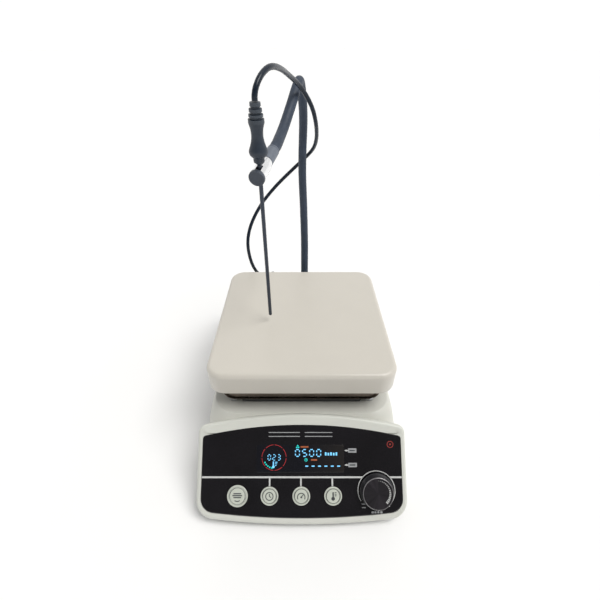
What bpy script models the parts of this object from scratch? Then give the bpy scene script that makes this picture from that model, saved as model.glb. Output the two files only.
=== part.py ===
"""Hotplate magnetic stirrer with a gooseneck probe arm, as separate named pieces.

Modelled in millimetres and scaled to metres on the way into each mesh.  Everything hangs on the
empty "stirrer", whose origin is the point of the table under the middle of the hot plate.
"""
import math

import bmesh
import bpy
import numpy as np
from mathutils import Matrix, Vector

# ------------------------------------------------------------------ driving dimensions (mm)
MM = 0.001
GAP = 0.3                      # air left between neighbouring pieces
CENTRE_Y = 13.371               # plate centre ahead of the origin, so the origin is mid-footprint

PLATE_W, PLATE_D = 184.0, 184.0
PLATE_R = 18.0                 # plan corner radius
PLATE_T = 25.0                 # skirt height
PLATE_TOP_T = 8.0              # thickness of the heated top
PLATE_SKIRT_T = 6.0            # thickness of the skirt wall
PLATE_FILLET = 4.5

FOOT_H, FOOT_R = 6.2, 9.0
BASE_T = 2.0                   # bottom sheet
HOUSE_BOTTOM = 6.0
DECK_Z = 75.5                  # top of the housing
HOUSE_HW = 97.5                # half width low down
HOUSE_HW_DECK = 90.5           # half width at the deck
ARM_SET_BACK = 20.0            # arm axis behind the plate
ARM_Y = PLATE_D / 2 + ARM_SET_BACK
HOUSE_REAR = ARM_Y + 21.0      # flat rear panel
HOUSE_WALL = 2.6
HOUSE_R = 12.0
HOUSE_FRONT_R = 24.0           # plan radius of the two front corners, behind the bezel
SHIELD_W, SHIELD_R, SHIELD_T = 162.0, 14.0, 1.0
SPACER_R, SPACER_H = 6.0, 7.2
SPACER_X, SPACER_Y = SHIELD_W / 2 - 10.5, SHIELD_W / 2 - 7.0
FRAME_HW, FRAME_HD, FRAME_BAR = SPACER_X - 8.5, SHIELD_W / 2 - 0.6, 8.0
SHIELD_H = 26.0
SHIELD_LIP = 2.4
PAD_WELL_R = 46.0
HEATER_T = 3.2

SLOPE = 45.0                   # tilt of the control panel
PANEL_Y, PANEL_Z = -166.4, 12.0   # lower middle of the printed panel
BEZEL_HW, BEZEL_LOW, BEZEL_TOP = 101.7, -6.2, 95.8
BEZEL_DEPTH, BEZEL_EDGE_R = 6.0, 3.0
BEZEL_FACE_T = 3.4
OVERLAY_HW, OVERLAY_TOP = 97.2, 85.8
OVERLAY_T = 0.8
OVERLAY_SINK = 0.1             # overlay face below the bezel rim
BOW_R, ARCH_R = 780.0, 450.0
WINDOW = (-44.0, 41.3, 41.3, 67.0)
BUTTONS = {"program": (-61.7, 20.2, 8.2, 9.9), "time": (-31.0, 20.2, 6.9, 8.5),
           "speed": (-0.5, 20.2, 6.9, 8.5), "temp": (30.0, 20.2, 6.9, 8.5)}
BUTTON_TRAVEL = 1.0
BUTTON_PROUD = 1.3
BUTTON_STEM_R = 3.0
BOARD_N = -13.0                # front face of the control board below the panel face
BOARD_T = 1.6
SWITCH_H = 2.8
KNOB_X, KNOB_S = 71.9, 25.0
KNOB_R, KNOB_FACE_R, KNOB_H = 16.3, 14.3, 7.5
KNOB_LIFT = 1.4                # skirt of the knob above the panel, for its push
SHAFT_R = 3.0

MOTOR_R, MOTOR_H, MOTOR_TOP = 25.0, 38.0, 60.0
ROTOR_SHAFT_R = 3.0
MAGNET_R, MAGNET_H, MAGNET_X = 9.0, 6.0, 22.0

ARM_X = 4.7
ARM_R = 4.9
SLEEVE_R = ARM_R + 0.5
ROD_R = 1.75
# the arm, probe and cable points are written for a nut at ARM_LAID_OUT and move with the real one
ARM_LAID_OUT = Vector((4.7, 112.0, 75.5))
ARM_SHIFT = Vector((ARM_X, ARM_Y, DECK_Z)) - ARM_LAID_OUT
ROD_TIP = Vector((-34.0, -12.0, 136.0)) + ARM_SHIFT
ROD_HEAD = Vector((-33.4, -28.5, 342.0)) + ARM_SHIFT
CLAMP_FACE = Vector((-36.1, -30.84, 289.2)) + ARM_SHIFT
CLAMP_DIR = Vector((0.258, 0.931, 0.259)).normalized()
CLAMP_R, CLAMP_KNOB_R, CLAMP_KNOB_T = 6.2, 6.7, 3.2
CABLE_R = 2.2
GRIP_SCALE = 1.05              # girth of the moulded handle

INLET_X, INLET_Z = 58.0, 36.0
SWITCH_X, SWITCH_Z = 24.0, 36.0
FUSE_X, FUSE_Z = 0.0, 36.0
SOCKET_X, SOCKET_Z = -45.0, 45.0
PLUG_END = HOUSE_REAR + 39.0

# centreline of the arm, from inside the deck nut up, over and forward to its sleeve
ARM_ROUTE = [(4.7, 112, 66), (4.7, 112, 84), (4.7, 112.6, 100), (4.7, 117.5, 120),
             (4.5, 125.5, 153.6), (3.5, 130, 187), (2.6, 133, 210.6), (1.3, 136, 240),
             (1.3, 138, 268.4), (1.9, 137.5, 290), (2.0, 134, 308), (1.2, 129, 322),
             (-0.4, 120.5, 336), (-2.4, 107, 343.6), (-5.6, 90, 338.5), (-9.7, 74, 328.2),
             (-13.4, 61.6, 319.4), (-16.9, 49.3, 311.6), (-20.0, 34, 306.2)]
ARM_ROUTE = [tuple(Vector(p) + ARM_SHIFT) for p in ARM_ROUTE]
CABLE_UPPER = [(-33.4, -28.55, 342.75), (-33.2, -28.55, 346.5), (-32.1, -26.5, 351),
               (-29.9, -21.8, 355.6), (-26.8, -14.5, 359.4), (-22.8, -4.5, 361.4),
               (-16.6, 22.6, 358.4), (-11.9, 49, 353), (-4.9, 70, 345.5), (1.2, 80, 338),
               (6.6, 86.5, 329.7), (11.2, 90.5, 320.4), (14.2, 95.5, 310.4), (16.3, 106, 298.6),
               (16.6, 121, 284.0), (12.5, 137, 270), (4.2, 148, 258.6), (-0.6, 150.5, 253.6)]
CABLE_UPPER = [tuple(Vector(p) + ARM_SHIFT) for p in CABLE_UPPER]
CABLE_LOWER = [(-0.95, 150.65, 253.2), (-5.2, 151.5, 249), (-18.3, 150, 237.3), (-31.4, 145, 226),
               (-48.1, 137.5, 209), (-56.9, 131.5, 197.6), (-63.8, 125.5, 186.2),
               (-68.7, 119.4, 174.7), (-71.2, 113.3, 163.1), (-71.2, 108.6, 151),
               (-69.2, 106, 137.7), (-66, 106.5, 125), (-62, 114, 111), (-58, 128, 97.5),
               (-54, 146, 85), (-50, 163, 76), (-47.3, 177, 70.3)]
CABLE_LOWER = [tuple(Vector(p) + ARM_SHIFT) for p in CABLE_LOWER]
# then down behind the plug and into it
CABLE_LOWER += [(SOCKET_X - 0.5, PLUG_END + 15.8, SOCKET_Z + 17.5),
                (SOCKET_X, PLUG_END + 17.0, SOCKET_Z + 8.5),
                (SOCKET_X, PLUG_END + 11.5, SOCKET_Z + 1.8), (SOCKET_X, PLUG_END + 5, SOCKET_Z + 0.1),
                (SOCKET_X, PLUG_END + GAP, SOCKET_Z)]

# ------------------------------------------------------------------ scene and materials
for old in list(bpy.data.objects):
    bpy.data.objects.remove(old, do_unlink=True)

root = bpy.data.objects.new("stirrer", None)
root.location = (0, CENTRE_Y * MM, 0)
bpy.context.scene.collection.objects.link(root)

PALETTE = {
    "enamel": ((0.83, 0.79, 0.72), 0.25, 0.0), "casing": ((0.80, 0.79, 0.75), 0.4, 0.0),
    "overlay": ((0.012, 0.012, 0.015), 0.15, 0.0), "window": ((0.02, 0.025, 0.035), 0.08, 0.0),
    "steel": ((0.42, 0.38, 0.33), 0.2, 1.0), "chrome": ((0.85, 0.85, 0.86), 0.1, 1.0),
    "button": ((0.74, 0.76, 0.69), 0.45, 0.0), "black": ((0.02, 0.02, 0.022), 0.4, 0.0),
    "rubber": ((0.03, 0.035, 0.05), 0.6, 0.0), "slate": ((0.09, 0.11, 0.15), 0.5, 0.0),
    "board": ((0.02, 0.16, 0.07), 0.5, 0.0), "copper": ((0.6, 0.32, 0.12), 0.3, 1.0),
    "fibre": ((0.82, 0.8, 0.74), 0.9, 0.0), "magnet": ((0.5, 0.5, 0.5), 0.3, 1.0),
    "zinc": ((0.55, 0.56, 0.58), 0.35, 1.0), "glass": ((0.05, 0.12, 0.16), 0.1, 0.0),
}


def material(node, tone):
    rgb, rough, metal = PALETTE[tone]
    mat = bpy.data.materials.new(node)
    mat.use_nodes = True
    bsdf = mat.node_tree.nodes["Principled BSDF"]
    bsdf.inputs["Base Color"].default_value = (*rgb, 1)
    bsdf.inputs["Roughness"].default_value = rough
    bsdf.inputs["Metallic"].default_value = metal
    mat.diffuse_color = (*rgb, 1)
    return mat


def place(obj, at=(0, 0, 0), turn=None):
    obj.parent = root
    obj.location = Vector(at) * MM
    if turn is not None:
        obj.rotation_mode = "QUATERNION"
        obj.rotation_quaternion = turn.to_quaternion()


PANEL_TURN = Matrix.Rotation(math.radians(SLOPE), 3, "X")


def on_panel(x, s, n=0.0):
    """Point x across, s up the slope and n proud of the panel face."""
    return Vector((0, PANEL_Y, PANEL_Z)) + PANEL_TURN @ Vector((x, s, n))


def along(direction):
    """Rotation that carries +Z onto a direction and keeps +X level."""
    return Vector(direction).to_track_quat("Z", "X").to_matrix()


def finish(node, bm, tone, at=(0, 0, 0), turn=None, cutter=False):
    bmesh.ops.remove_doubles(bm, verts=bm.verts, dist=1e-4)
    bmesh.ops.recalc_face_normals(bm, faces=bm.faces)
    bmesh.ops.scale(bm, vec=(MM, MM, MM), verts=bm.verts)
    mesh = bpy.data.meshes.new(node)
    bm.to_mesh(mesh)
    bm.free()
    mesh.shade_smooth()
    mesh.set_sharp_from_angle(angle=math.radians(35))
    obj = bpy.data.objects.new(node, mesh)
    bpy.context.scene.collection.objects.link(obj)
    if cutter:
        obj.hide_render = True
        obj.display_type = "WIRE"
    else:
        mesh.materials.append(material(node, tone))
    place(obj, at, turn)
    return obj


def boolean(obj, tool, operation="DIFFERENCE"):
    mod = obj.modifiers.new(operation.lower() + "_" + tool.name, "BOOLEAN")
    mod.operation = operation
    mod.solver = "EXACT"
    mod.object = tool


# ------------------------------------------------------------------ outlines and solids
def rounded_rect(width, depth, radius, steps=5, centre=(0, 0), front=None):
    """Rectangle with rounded corners, anticlockwise; front is the radius of the two at -Y."""
    hw, hd = width / 2, depth / 2
    radius = min(radius, hw - 0.01, hd - 0.01)
    front = radius if front is None else front
    points = []
    for sx, sy, r, start in ((1, -1, front, -90), (1, 1, radius, 0), (-1, 1, radius, 90),
                             (-1, -1, front, 180)):
        for i in range(steps + 1):
            a = math.radians(start + 90 * i / steps)
            points.append((centre[0] + sx * (hw - r) + r * math.cos(a),
                           centre[1] + sy * (hd - r) + r * math.sin(a)))
    return points


def circle(radius, steps=24, centre=(0, 0)):
    return [(centre[0] + radius * math.cos(2 * math.pi * i / steps),
             centre[1] + radius * math.sin(2 * math.pi * i / steps)) for i in range(steps)]


def panel_outline(hw, low, top, r_low, r_top, bow=BOW_R, arch=ARCH_R, steps=5, run=10):
    """Bowed bottom, straight sides, arched top and four rounded corners, anticlockwise."""
    def tangent(radius, big):
        x = hw - radius
        for _ in range(8):
            x = hw - radius + radius * x / big
        return x, math.asin(x / big)
    xb, pb = tangent(r_low, bow)
    xt, pt = tangent(r_top, arch)
    points = []
    for i in range(run + 1):
        x = -xb + 2 * xb * i / run
        points.append((x, low + bow - math.sqrt(bow * bow - x * x)))
    cy = points[-1][1] + r_low * math.cos(pb)
    for i in range(1, steps + 1):
        a = -math.pi / 2 + pb + (math.pi / 2 - pb) * i / steps
        points.append((hw - r_low + r_low * math.cos(a), cy + r_low * math.sin(a)))
    right_low = points[run + 1:]
    yt = top - arch + math.sqrt(arch * arch - xt * xt)
    ct = yt - r_top * math.cos(pt)
    for i in range(steps):
        a = (math.pi / 2 - pt) * i / steps
        points.append((hw - r_top + r_top * math.cos(a), ct + r_top * math.sin(a)))
    right_top = points[-steps:]
    for i in range(run + 1):
        x = xt - 2 * xt * i / run
        points.append((x, top - arch + math.sqrt(arch * arch - x * x)))
    points += [(-x, y) for x, y in reversed(right_top)]
    points += [(-x, y) for x, y in reversed(right_low)]
    return points


def loft(bm, rings):
    """Closed solid through rings of equal count, each a list of 3-D points."""
    layers = [[bm.verts.new(p) for p in ring] for ring in rings]
    for low, high in zip(layers, layers[1:]):
        for i in range(len(low)):
            j = (i + 1) % len(low)
            bm.faces.new((low[i], low[j], high[j], high[i]))
    bm.faces.new(list(reversed(layers[0])))
    bm.faces.new(layers[-1])


def prism(bm, outline, z0, z1):
    loft(bm, [[(x, y, z0) for x, y in outline], [(x, y, z1) for x, y in outline]])


def box(bm, x0, x1, y0, y1, z0, z1):
    prism(bm, [(x0, y0), (x1, y0), (x1, y1), (x0, y1)], z0, z1)


def turned(bm, profile, steps=24, centre=(0, 0)):
    """Solid of revolution about Z from a closed (r, z) loop or an open one that ends on the axis."""
    rows = []
    for r, z in profile:
        if r < 1e-6:
            rows.append([bm.verts.new((centre[0], centre[1], z))])
        else:
            rows.append([bm.verts.new((centre[0] + r * math.cos(2 * math.pi * i / steps),
                                       centre[1] + r * math.sin(2 * math.pi * i / steps), z))
                         for i in range(steps)])
    pairs = list(zip(rows, rows[1:]))
    if len(rows[0]) > 1 and len(rows[-1]) > 1:
        pairs.append((rows[-1], rows[0]))
    for a, b in pairs:
        for i in range(steps if len(a) + len(b) > 2 else 0):
            j = (i + 1) % steps
            if len(a) == 1:
                bm.faces.new((a[0], b[i], b[j]))
            elif len(b) == 1:
                bm.faces.new((a[i], b[0], a[j]))
            else:
                bm.faces.new((a[i], b[i], b[j], a[j]))


def rod(node, tone, radius, z0, z1, at=(0, 0, 0), turn=None, steps=24, cutter=False, edge=0.0):
    bm = bmesh.new()
    if edge > 0:
        turned(bm, [(0, z0), (radius - edge, z0), (radius, z0 + edge), (radius, z1 - edge),
                    (radius - edge, z1), (0, z1)], steps)
    else:
        prism(bm, circle(radius, steps), z0, z1)
    return finish(node, bm, tone, at, turn, cutter)


def ring(node, tone, inner, outer, z0, z1, at=(0, 0, 0), turn=None, steps=24):
    bm = bmesh.new()
    turned(bm, [(inner, z0), (outer, z0), (outer, z1), (inner, z1)], steps)
    return finish(node, bm, tone, at, turn)


def smooth_route(points, spacing):
    """Natural cubic spline through the points, read at an even spacing."""
    pts = np.array(points, dtype=float)
    t = np.concatenate([[0], np.cumsum(np.linalg.norm(np.diff(pts, axis=0), axis=1) ** 0.5)])
    n, h = len(t), np.diff(t)
    a = np.zeros((n, n))
    b = np.zeros((n, 3))
    a[0, 0] = a[-1, -1] = 1
    for i in range(1, n - 1):
        a[i, i - 1], a[i, i], a[i, i + 1] = h[i - 1], 2 * (h[i - 1] + h[i]), h[i]
        b[i] = 3 * ((pts[i + 1] - pts[i]) / h[i] - (pts[i] - pts[i - 1]) / h[i - 1])
    c = np.linalg.solve(a, b)
    fine = []
    for i in range(n - 1):
        slope = (pts[i + 1] - pts[i]) / h[i] - h[i] * (2 * c[i] + c[i + 1]) / 3
        d = (c[i + 1] - c[i]) / (3 * h[i])
        for u in np.linspace(0, h[i], 24, endpoint=False):
            fine.append(pts[i] + slope * u + c[i] * u ** 2 + d * u ** 3)
    fine = np.array(fine + [pts[-1]])
    s = np.concatenate([[0], np.cumsum(np.linalg.norm(np.diff(fine, axis=0), axis=1))])
    count = max(2, int(round(s[-1] / spacing)) + 1)
    at = np.linspace(0, s[-1], count)
    return [tuple(np.array([np.interp(v, s, fine[:, k]) for k in range(3)])) for v in at]


def tube(node, tone, points, radius, spacing, resolution):
    curve = bpy.data.curves.new(node, "CURVE")
    curve.dimensions = "3D"
    curve.bevel_depth = radius * MM
    curve.bevel_resolution = resolution
    curve.use_fill_caps = True
    route = smooth_route(points, spacing)
    spline = curve.splines.new("POLY")
    spline.points.add(len(route) - 1)
    for point, co in zip(spline.points, route):
        point.co = (co[0] * MM, co[1] * MM, co[2] * MM, 1)
    curve.materials.append(material(node, tone))
    obj = bpy.data.objects.new(node, curve)
    bpy.context.scene.collection.objects.link(obj)
    place(obj)
    return obj


# ------------------------------------------------------------------ feet, bottom sheet, housing
base_z0 = FOOT_H + GAP
base_z1 = base_z0 + BASE_T
house_front_low = on_panel(0, 0, -BEZEL_DEPTH - GAP)


def house_front(z, inset=0.0):
    """Y of the housing's sloping front at height z, parallel to the panel."""
    tan = math.tan(math.radians(SLOPE))
    return house_front_low.y + (z - house_front_low.z) / tan + inset / math.sin(math.radians(SLOPE))


def house_ring(z, hw, inset=0.0, radius=HOUSE_R):
    y0, y1 = house_front(z, inset), HOUSE_REAR - inset
    hw = hw - inset
    return [(x, y + (y0 + y1) / 2, z) for x, y in
            rounded_rect(2 * hw, y1 - y0, max(radius - inset, 2.0), 4,
                         front=max(HOUSE_FRONT_R - inset, 2.0))]


HOUSE_STEPS = [(HOUSE_BOTTOM, 0.0), (42.0, 0.0), (DECK_Z - 14, 0.22), (DECK_Z - 5.5, 0.5),
               (DECK_Z - 1.8, 0.75), (DECK_Z, 1.0)]
bm = bmesh.new()
loft(bm, [house_ring(z, HOUSE_HW + (HOUSE_HW_DECK - HOUSE_HW) * f) for z, f in HOUSE_STEPS])
housing = finish("housing", bm, "casing")

bm = bmesh.new()
inner = [(HOUSE_BOTTOM - 5, 0.0), (42.0, 0.0), (DECK_Z - 14, 0.25), (DECK_Z - HOUSE_WALL, 0.75)]
loft(bm, [house_ring(z, HOUSE_HW + (HOUSE_HW_DECK - HOUSE_HW) * f, HOUSE_WALL) for z, f in inner])
hollow = finish("cut_housing_hollow", bm, None, cutter=True)
boolean(housing, hollow)

bm = bmesh.new()
prism(bm, panel_outline(OVERLAY_HW - 11, 7.0, OVERLAY_TOP - 5, 8, 5), -BEZEL_DEPTH - 6, -1.0)
front_cut = finish("cut_housing_front", bm, None, (0, PANEL_Y, PANEL_Z), PANEL_TURN, True)
boolean(housing, front_cut)

inlet_w, inlet_h = 27.0, 20.0
switch_w, switch_h = 19.0, 13.0
panel_cut = bmesh.new()
box(panel_cut, INLET_X - inlet_w / 2 - GAP, INLET_X + inlet_w / 2 + GAP, HOUSE_REAR - 6,
    HOUSE_REAR + 6, INLET_Z - inlet_h / 2 - GAP, INLET_Z + inlet_h / 2 + GAP)
box(panel_cut, SWITCH_X - switch_w / 2 - GAP, SWITCH_X + switch_w / 2 + GAP, HOUSE_REAR - 6,
    HOUSE_REAR + 6, SWITCH_Z - switch_h / 2 - GAP, SWITCH_Z + switch_h / 2 + GAP)
VENTS = [-88.0 + 6.0 * i for i in range(5)] + [-27.0 + 6.0 * i for i in range(3)]
for vx in VENTS:
    if abs(vx) < HOUSE_HW - HOUSE_R - 2:
        box(panel_cut, vx - 1.4, vx + 1.4, HOUSE_REAR - 6, HOUSE_REAR + 6, 22, 56)
rear_cut = finish("cut_housing_rear", panel_cut, None, cutter=True)
boolean(housing, rear_cut)

REAR_TURN = Matrix.Rotation(math.radians(-90), 3, "X")       # +Z of a piece points out of the rear
fuse_r, socket_r = 5.6, 5.8
for cut_name, cx, cz, cr in (("fuse", FUSE_X, FUSE_Z, fuse_r), ("socket", SOCKET_X, SOCKET_Z, socket_r)):
    boolean(housing, rod("cut_housing_" + cut_name, None, cr + GAP, -8, 6,
                         (cx, HOUSE_REAR, cz), REAR_TURN, cutter=True))
shaft_hole_r = ROTOR_SHAFT_R + 2.5
boolean(housing, rod("cut_housing_shaft", None, shaft_hole_r, DECK_Z - 8, DECK_Z + 4, cutter=True))
boolean(housing, rod("cut_housing_arm", None, ARM_R + 0.5, DECK_Z - 8, DECK_Z + 4,
                     (ARM_X, ARM_Y, 0), cutter=True))

# bottom sheet, inside the housing walls, with a row of air slots
bm = bmesh.new()
sheet = HOUSE_WALL + GAP
y0, y1 = house_front(base_z1, sheet) + 2.0, HOUSE_REAR - sheet
prism(bm, [(x, y + (y0 + y1) / 2) for x, y in
           rounded_rect(2 * (HOUSE_HW - sheet), y1 - y0, HOUSE_R - sheet, 3,
                        front=HOUSE_FRONT_R - sheet)], base_z0, base_z1)
base_plate = finish("base_plate", bm, "zinc")
bm = bmesh.new()
for i in range(6):
    box(bm, 30 + 7 * i, 33 + 7 * i, -20, 30, base_z0 - 3, base_z1 + 3)
base_slots = finish("cut_base_slots", bm, None, cutter=True)
boolean(base_plate, base_slots)

foot_y = ((y0 + y1) / 2 - (y1 - y0) / 2 + 22, (y0 + y1) / 2 + (y1 - y0) / 2 - 22)
foot_x = HOUSE_HW - 24
feet = [("foot_front_left", -foot_x, foot_y[0]), ("foot_front_right", foot_x, foot_y[0]),
        ("foot_rear_left", -foot_x, foot_y[1]), ("foot_rear_right", foot_x, foot_y[1])]
for name, fx, fy in feet:
    bm = bmesh.new()
    turned(bm, [(0, 0), (FOOT_R - 1.5, 0), (FOOT_R - 0.6, 1.2), (FOOT_R, FOOT_H), (0, FOOT_H)], 20)
    finish(name, bm, "rubber", (fx, fy, 0))

# ------------------------------------------------------------------ plate, heater, pad, shield
shield_z0 = DECK_Z + GAP + SPACER_H + GAP
shield_lip_z = shield_z0 + SHIELD_T
plate_z0 = shield_z0 + 19.4
plate_z1 = plate_z0 + PLATE_T
for name, sx, sy in (("spacer_front_left", -1, -1), ("spacer_front_right", 1, -1),
                     ("spacer_rear_left", -1, 1), ("spacer_rear_right", 1, 1)):
    rod(name, "steel", SPACER_R, 0, SPACER_H, (sx * SPACER_X, sy * SPACER_Y, DECK_Z + GAP),
        steps=20, edge=0.6)

# black frame between the spacers, closing the gap under the shield
bm = bmesh.new()
prism(bm, rounded_rect(2 * FRAME_HW, 2 * FRAME_HD, 3.0, 4), DECK_Z + GAP, DECK_Z + GAP + SPACER_H)
insulating_frame = finish("insulating_frame", bm, "rubber")
bm = bmesh.new()
prism(bm, rounded_rect(2 * (FRAME_HW - FRAME_BAR), 2 * (FRAME_HD - FRAME_BAR), 2.0, 4),
      DECK_Z - 4, DECK_Z + SPACER_H + 5)
boolean(insulating_frame, finish("cut_frame_middle", bm, None, cutter=True))

bm = bmesh.new()
f = PLATE_FILLET


def plate_ring(inset, z, extra=0.0):
    return [(x, y, z) for x, y in rounded_rect(PLATE_W - 2 * inset, PLATE_D - 2 * inset,
                                               max(PLATE_R - inset - extra, 2.0), 6)]


rings = [plate_ring(0.8, plate_z0), plate_ring(0, plate_z0 + 1.0)]
for i in range(5):
    a = math.radians(22.5 * i)
    rings.append(plate_ring(f * (1 - math.cos(a)), plate_z1 - f + f * math.sin(a)))
loft(bm, rings)
hot_plate = finish("hot_plate", bm, "enamel")
bm = bmesh.new()
prism(bm, rounded_rect(PLATE_W - 2 * PLATE_SKIRT_T, PLATE_D - 2 * PLATE_SKIRT_T,
                       PLATE_R - PLATE_SKIRT_T, 5), plate_z0 - 5, plate_z1 - PLATE_TOP_T)
boolean(hot_plate, finish("cut_plate_hollow", bm, None, cutter=True))

heater_z1 = plate_z1 - PLATE_TOP_T - GAP
heater_z0 = heater_z1 - HEATER_T
heater_w = SHIELD_W - 14
bm = bmesh.new()
prism(bm, rounded_rect(heater_w, heater_w, SHIELD_R - 6, 4), heater_z0, heater_z1)
finish("heating_element", bm, "copper")

bm = bmesh.new()
wall = SHIELD_W
rings = [[(x, y, shield_z0) for x, y in rounded_rect(wall + 2 * SHIELD_LIP, wall + 2 * SHIELD_LIP,
                                                     SHIELD_R + SHIELD_LIP, 6)],
         [(x, y, shield_lip_z) for x, y in rounded_rect(wall + 2 * SHIELD_LIP, wall + 2 * SHIELD_LIP,
                                                        SHIELD_R + SHIELD_LIP, 6)],
         [(x, y, shield_lip_z) for x, y in rounded_rect(wall, wall, SHIELD_R, 6)],
         [(x, y, shield_z0 + SHIELD_H) for x, y in rounded_rect(wall, wall, SHIELD_R, 6)]]
loft(bm, rings)
heat_shield = finish("heat_shield", bm, "steel")
bm = bmesh.new()
prism(bm, rounded_rect(wall - 2 * SHIELD_T, wall - 2 * SHIELD_T, SHIELD_R - SHIELD_T, 5),
      shield_z0 + SHIELD_T, shield_z0 + SHIELD_H + 5)
boolean(heat_shield, finish("cut_shield_hollow", bm, None, cutter=True))
boolean(heat_shield, rod("cut_shield_shaft", None, shaft_hole_r, shield_z0 - 4, shield_z0 + 4,
                         cutter=True))

pad_w = wall - 2 * SHIELD_T - 2 * GAP
pad_z0, pad_z1 = shield_z0 + SHIELD_T + GAP, heater_z0 - GAP
bm = bmesh.new()
prism(bm, rounded_rect(pad_w, pad_w, SHIELD_R - SHIELD_T - GAP, 4), pad_z0, pad_z1)
pad = finish("insulation_pad", bm, "fibre")
boolean(pad, rod("cut_pad_well", None, PAD_WELL_R, pad_z0 - 4, pad_z1 + 4, steps=32, cutter=True))

# ------------------------------------------------------------------ stirring drive
motor_z0 = MOTOR_TOP - MOTOR_H
bm = bmesh.new()
turned(bm, [(0, motor_z0), (MOTOR_R - 2, motor_z0), (MOTOR_R, motor_z0 + 2), (MOTOR_R, MOTOR_TOP - 1),
            (MOTOR_R - 1, MOTOR_TOP), (7, MOTOR_TOP), (7, MOTOR_TOP + 2.0), (5, MOTOR_TOP + 2.0),
            (5, MOTOR_TOP - 4), (0, MOTOR_TOP - 4)], 28)
finish("motor", bm, "zinc")

bracket_z0 = MOTOR_TOP + GAP
bracket_z1 = bracket_z0 + 2.5
leg_x, leg_t, flange = MOTOR_R + 12, 2.5, 10.0
leg_top = DECK_Z - HOUSE_WALL - GAP
profile = [(-leg_x, bracket_z0), (leg_x, bracket_z0), (leg_x, leg_top - leg_t),
           (leg_x + flange, leg_top - leg_t), (leg_x + flange, leg_top), (leg_x - leg_t, leg_top),
           (leg_x - leg_t, bracket_z1), (-leg_x + leg_t, bracket_z1), (-leg_x + leg_t, leg_top),
           (-leg_x - flange, leg_top), (-leg_x - flange, leg_top - leg_t),
           (-leg_x, leg_top - leg_t)]
bm = bmesh.new()
loft(bm, [[(x, -22, z) for x, z in profile], [(x, 22, z) for x, z in profile]])
bracket = finish("motor_bracket", bm, "zinc")
boolean(bracket, rod("cut_bracket", None, 7 + GAP, bracket_z0 - 3, bracket_z1 + 3, cutter=True))

holder_z0 = pad_z0 + 11.0
holder_z1 = holder_z0 + 6.0
rod("motor_shaft", "zinc", ROTOR_SHAFT_R, MOTOR_TOP - 4 + GAP, holder_z0 - GAP, steps=16, edge=0.3)
bm = bmesh.new()
prism(bm, rounded_rect(2 * (MAGNET_X + MAGNET_R + 3), 2 * MAGNET_R + 6, MAGNET_R + 2.9, 6),
      holder_z0, holder_z1)
finish("magnet_holder", bm, "zinc")
for name, side in (("magnet_north", 1), ("magnet_south", -1)):
    rod(name, "magnet", MAGNET_R, 0, MAGNET_H, (side * MAGNET_X, 0, holder_z1 + GAP), edge=0.5)

# supply board on four legs over the bottom sheet, with its transformer, capacitor and relay
bm = bmesh.new()
board_z0 = base_z1 + 4
box(bm, -80, -20, 20, 110, board_z0, board_z0 + 1.6)
power_board = finish("power_board", bm, "board")
for k, (px0, px1, py0, py1, pz) in enumerate(((-74, -44, 30, 66, 30.0), (-38, -26, 34, 52, 20.0),
                                              (-70, -50, 76, 96, 16.0))):
    bm = bmesh.new()
    box(bm, px0, px1, py0, py1, board_z0 + 0.8, board_z0 + 1.6 + pz)
    boolean(power_board, finish("add_board_%d" % k, bm, None, cutter=True), "UNION")
for k, (px, py) in enumerate(((-76, 24), (-24, 24), (-76, 106), (-24, 106))):
    boolean(power_board, rod("add_leg_%d" % k, None, 2.5, base_z1 + GAP, board_z0 + 0.8,
                             (px, py, 0), steps=8, cutter=True), "UNION")

# ------------------------------------------------------------------ front bezel and panel
r_low, r_top = 13.0, 3.5
rim = BEZEL_HW - OVERLAY_HW


def bezel_ring(inset, n):
    return [(x, s, n) for x, s in
            panel_outline(BEZEL_HW - inset, BEZEL_LOW + inset, BEZEL_TOP - inset,
                          r_low + rim - inset, r_top + rim - inset)]


bm = bmesh.new()
rings = [bezel_ring(0, -BEZEL_DEPTH)]
for i in range(5):
    a = math.radians(22.5 * i)
    rings.append(bezel_ring(BEZEL_EDGE_R * (1 - math.cos(a)), -BEZEL_EDGE_R * (1 - math.sin(a))))
loft(bm, rings)
bezel = finish("front_bezel", bm, "casing", (0, PANEL_Y, PANEL_Z), PANEL_TURN)

recess = OVERLAY_SINK + OVERLAY_T + GAP
bm = bmesh.new()
prism(bm, panel_outline(OVERLAY_HW, 0, OVERLAY_TOP, r_low, r_top), -recess, 3)
boolean(bezel, finish("cut_bezel_recess", bm, None, (0, PANEL_Y, PANEL_Z), PANEL_TURN, True))
bm = bmesh.new()
back = 4.0
prism(bm, panel_outline(BEZEL_HW - back, BEZEL_LOW + back + 2, BEZEL_TOP - back,
                        r_low + rim - back, r_top + rim - back),
      -BEZEL_DEPTH - 3, -recess - BEZEL_FACE_T + 1.2)
boolean(bezel, finish("cut_bezel_back", bm, None, (0, PANEL_Y, PANEL_Z), PANEL_TURN, True))
bm = bmesh.new()
box(bm, -BEZEL_HW - 9, BEZEL_HW + 9, -BEZEL_HW - 120, -60, HOUSE_BOTTOM - 12, HOUSE_BOTTOM)
boolean(bezel, finish("cut_bezel_floor", bm, None, cutter=True))

bm = bmesh.new()
inset = GAP
prism(bm, panel_outline(OVERLAY_HW - inset, inset, OVERLAY_TOP - inset, r_low - inset,
                        r_top - inset), -OVERLAY_SINK - OVERLAY_T, -OVERLAY_SINK)
overlay = finish("panel_overlay", bm, "overlay", (0, PANEL_Y, PANEL_Z), PANEL_TURN)

wx0, wx1, ws0, ws1 = WINDOW
wc = ((wx0 + wx1) / 2, (ws0 + ws1) / 2)


def panel_prism(bm, dx, n0, n1):
    prism(bm, rounded_rect(wx1 - wx0 + 2 * dx, ws1 - ws0 + 2 * dx, 1.5, 2, wc), n0, n1)


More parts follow.
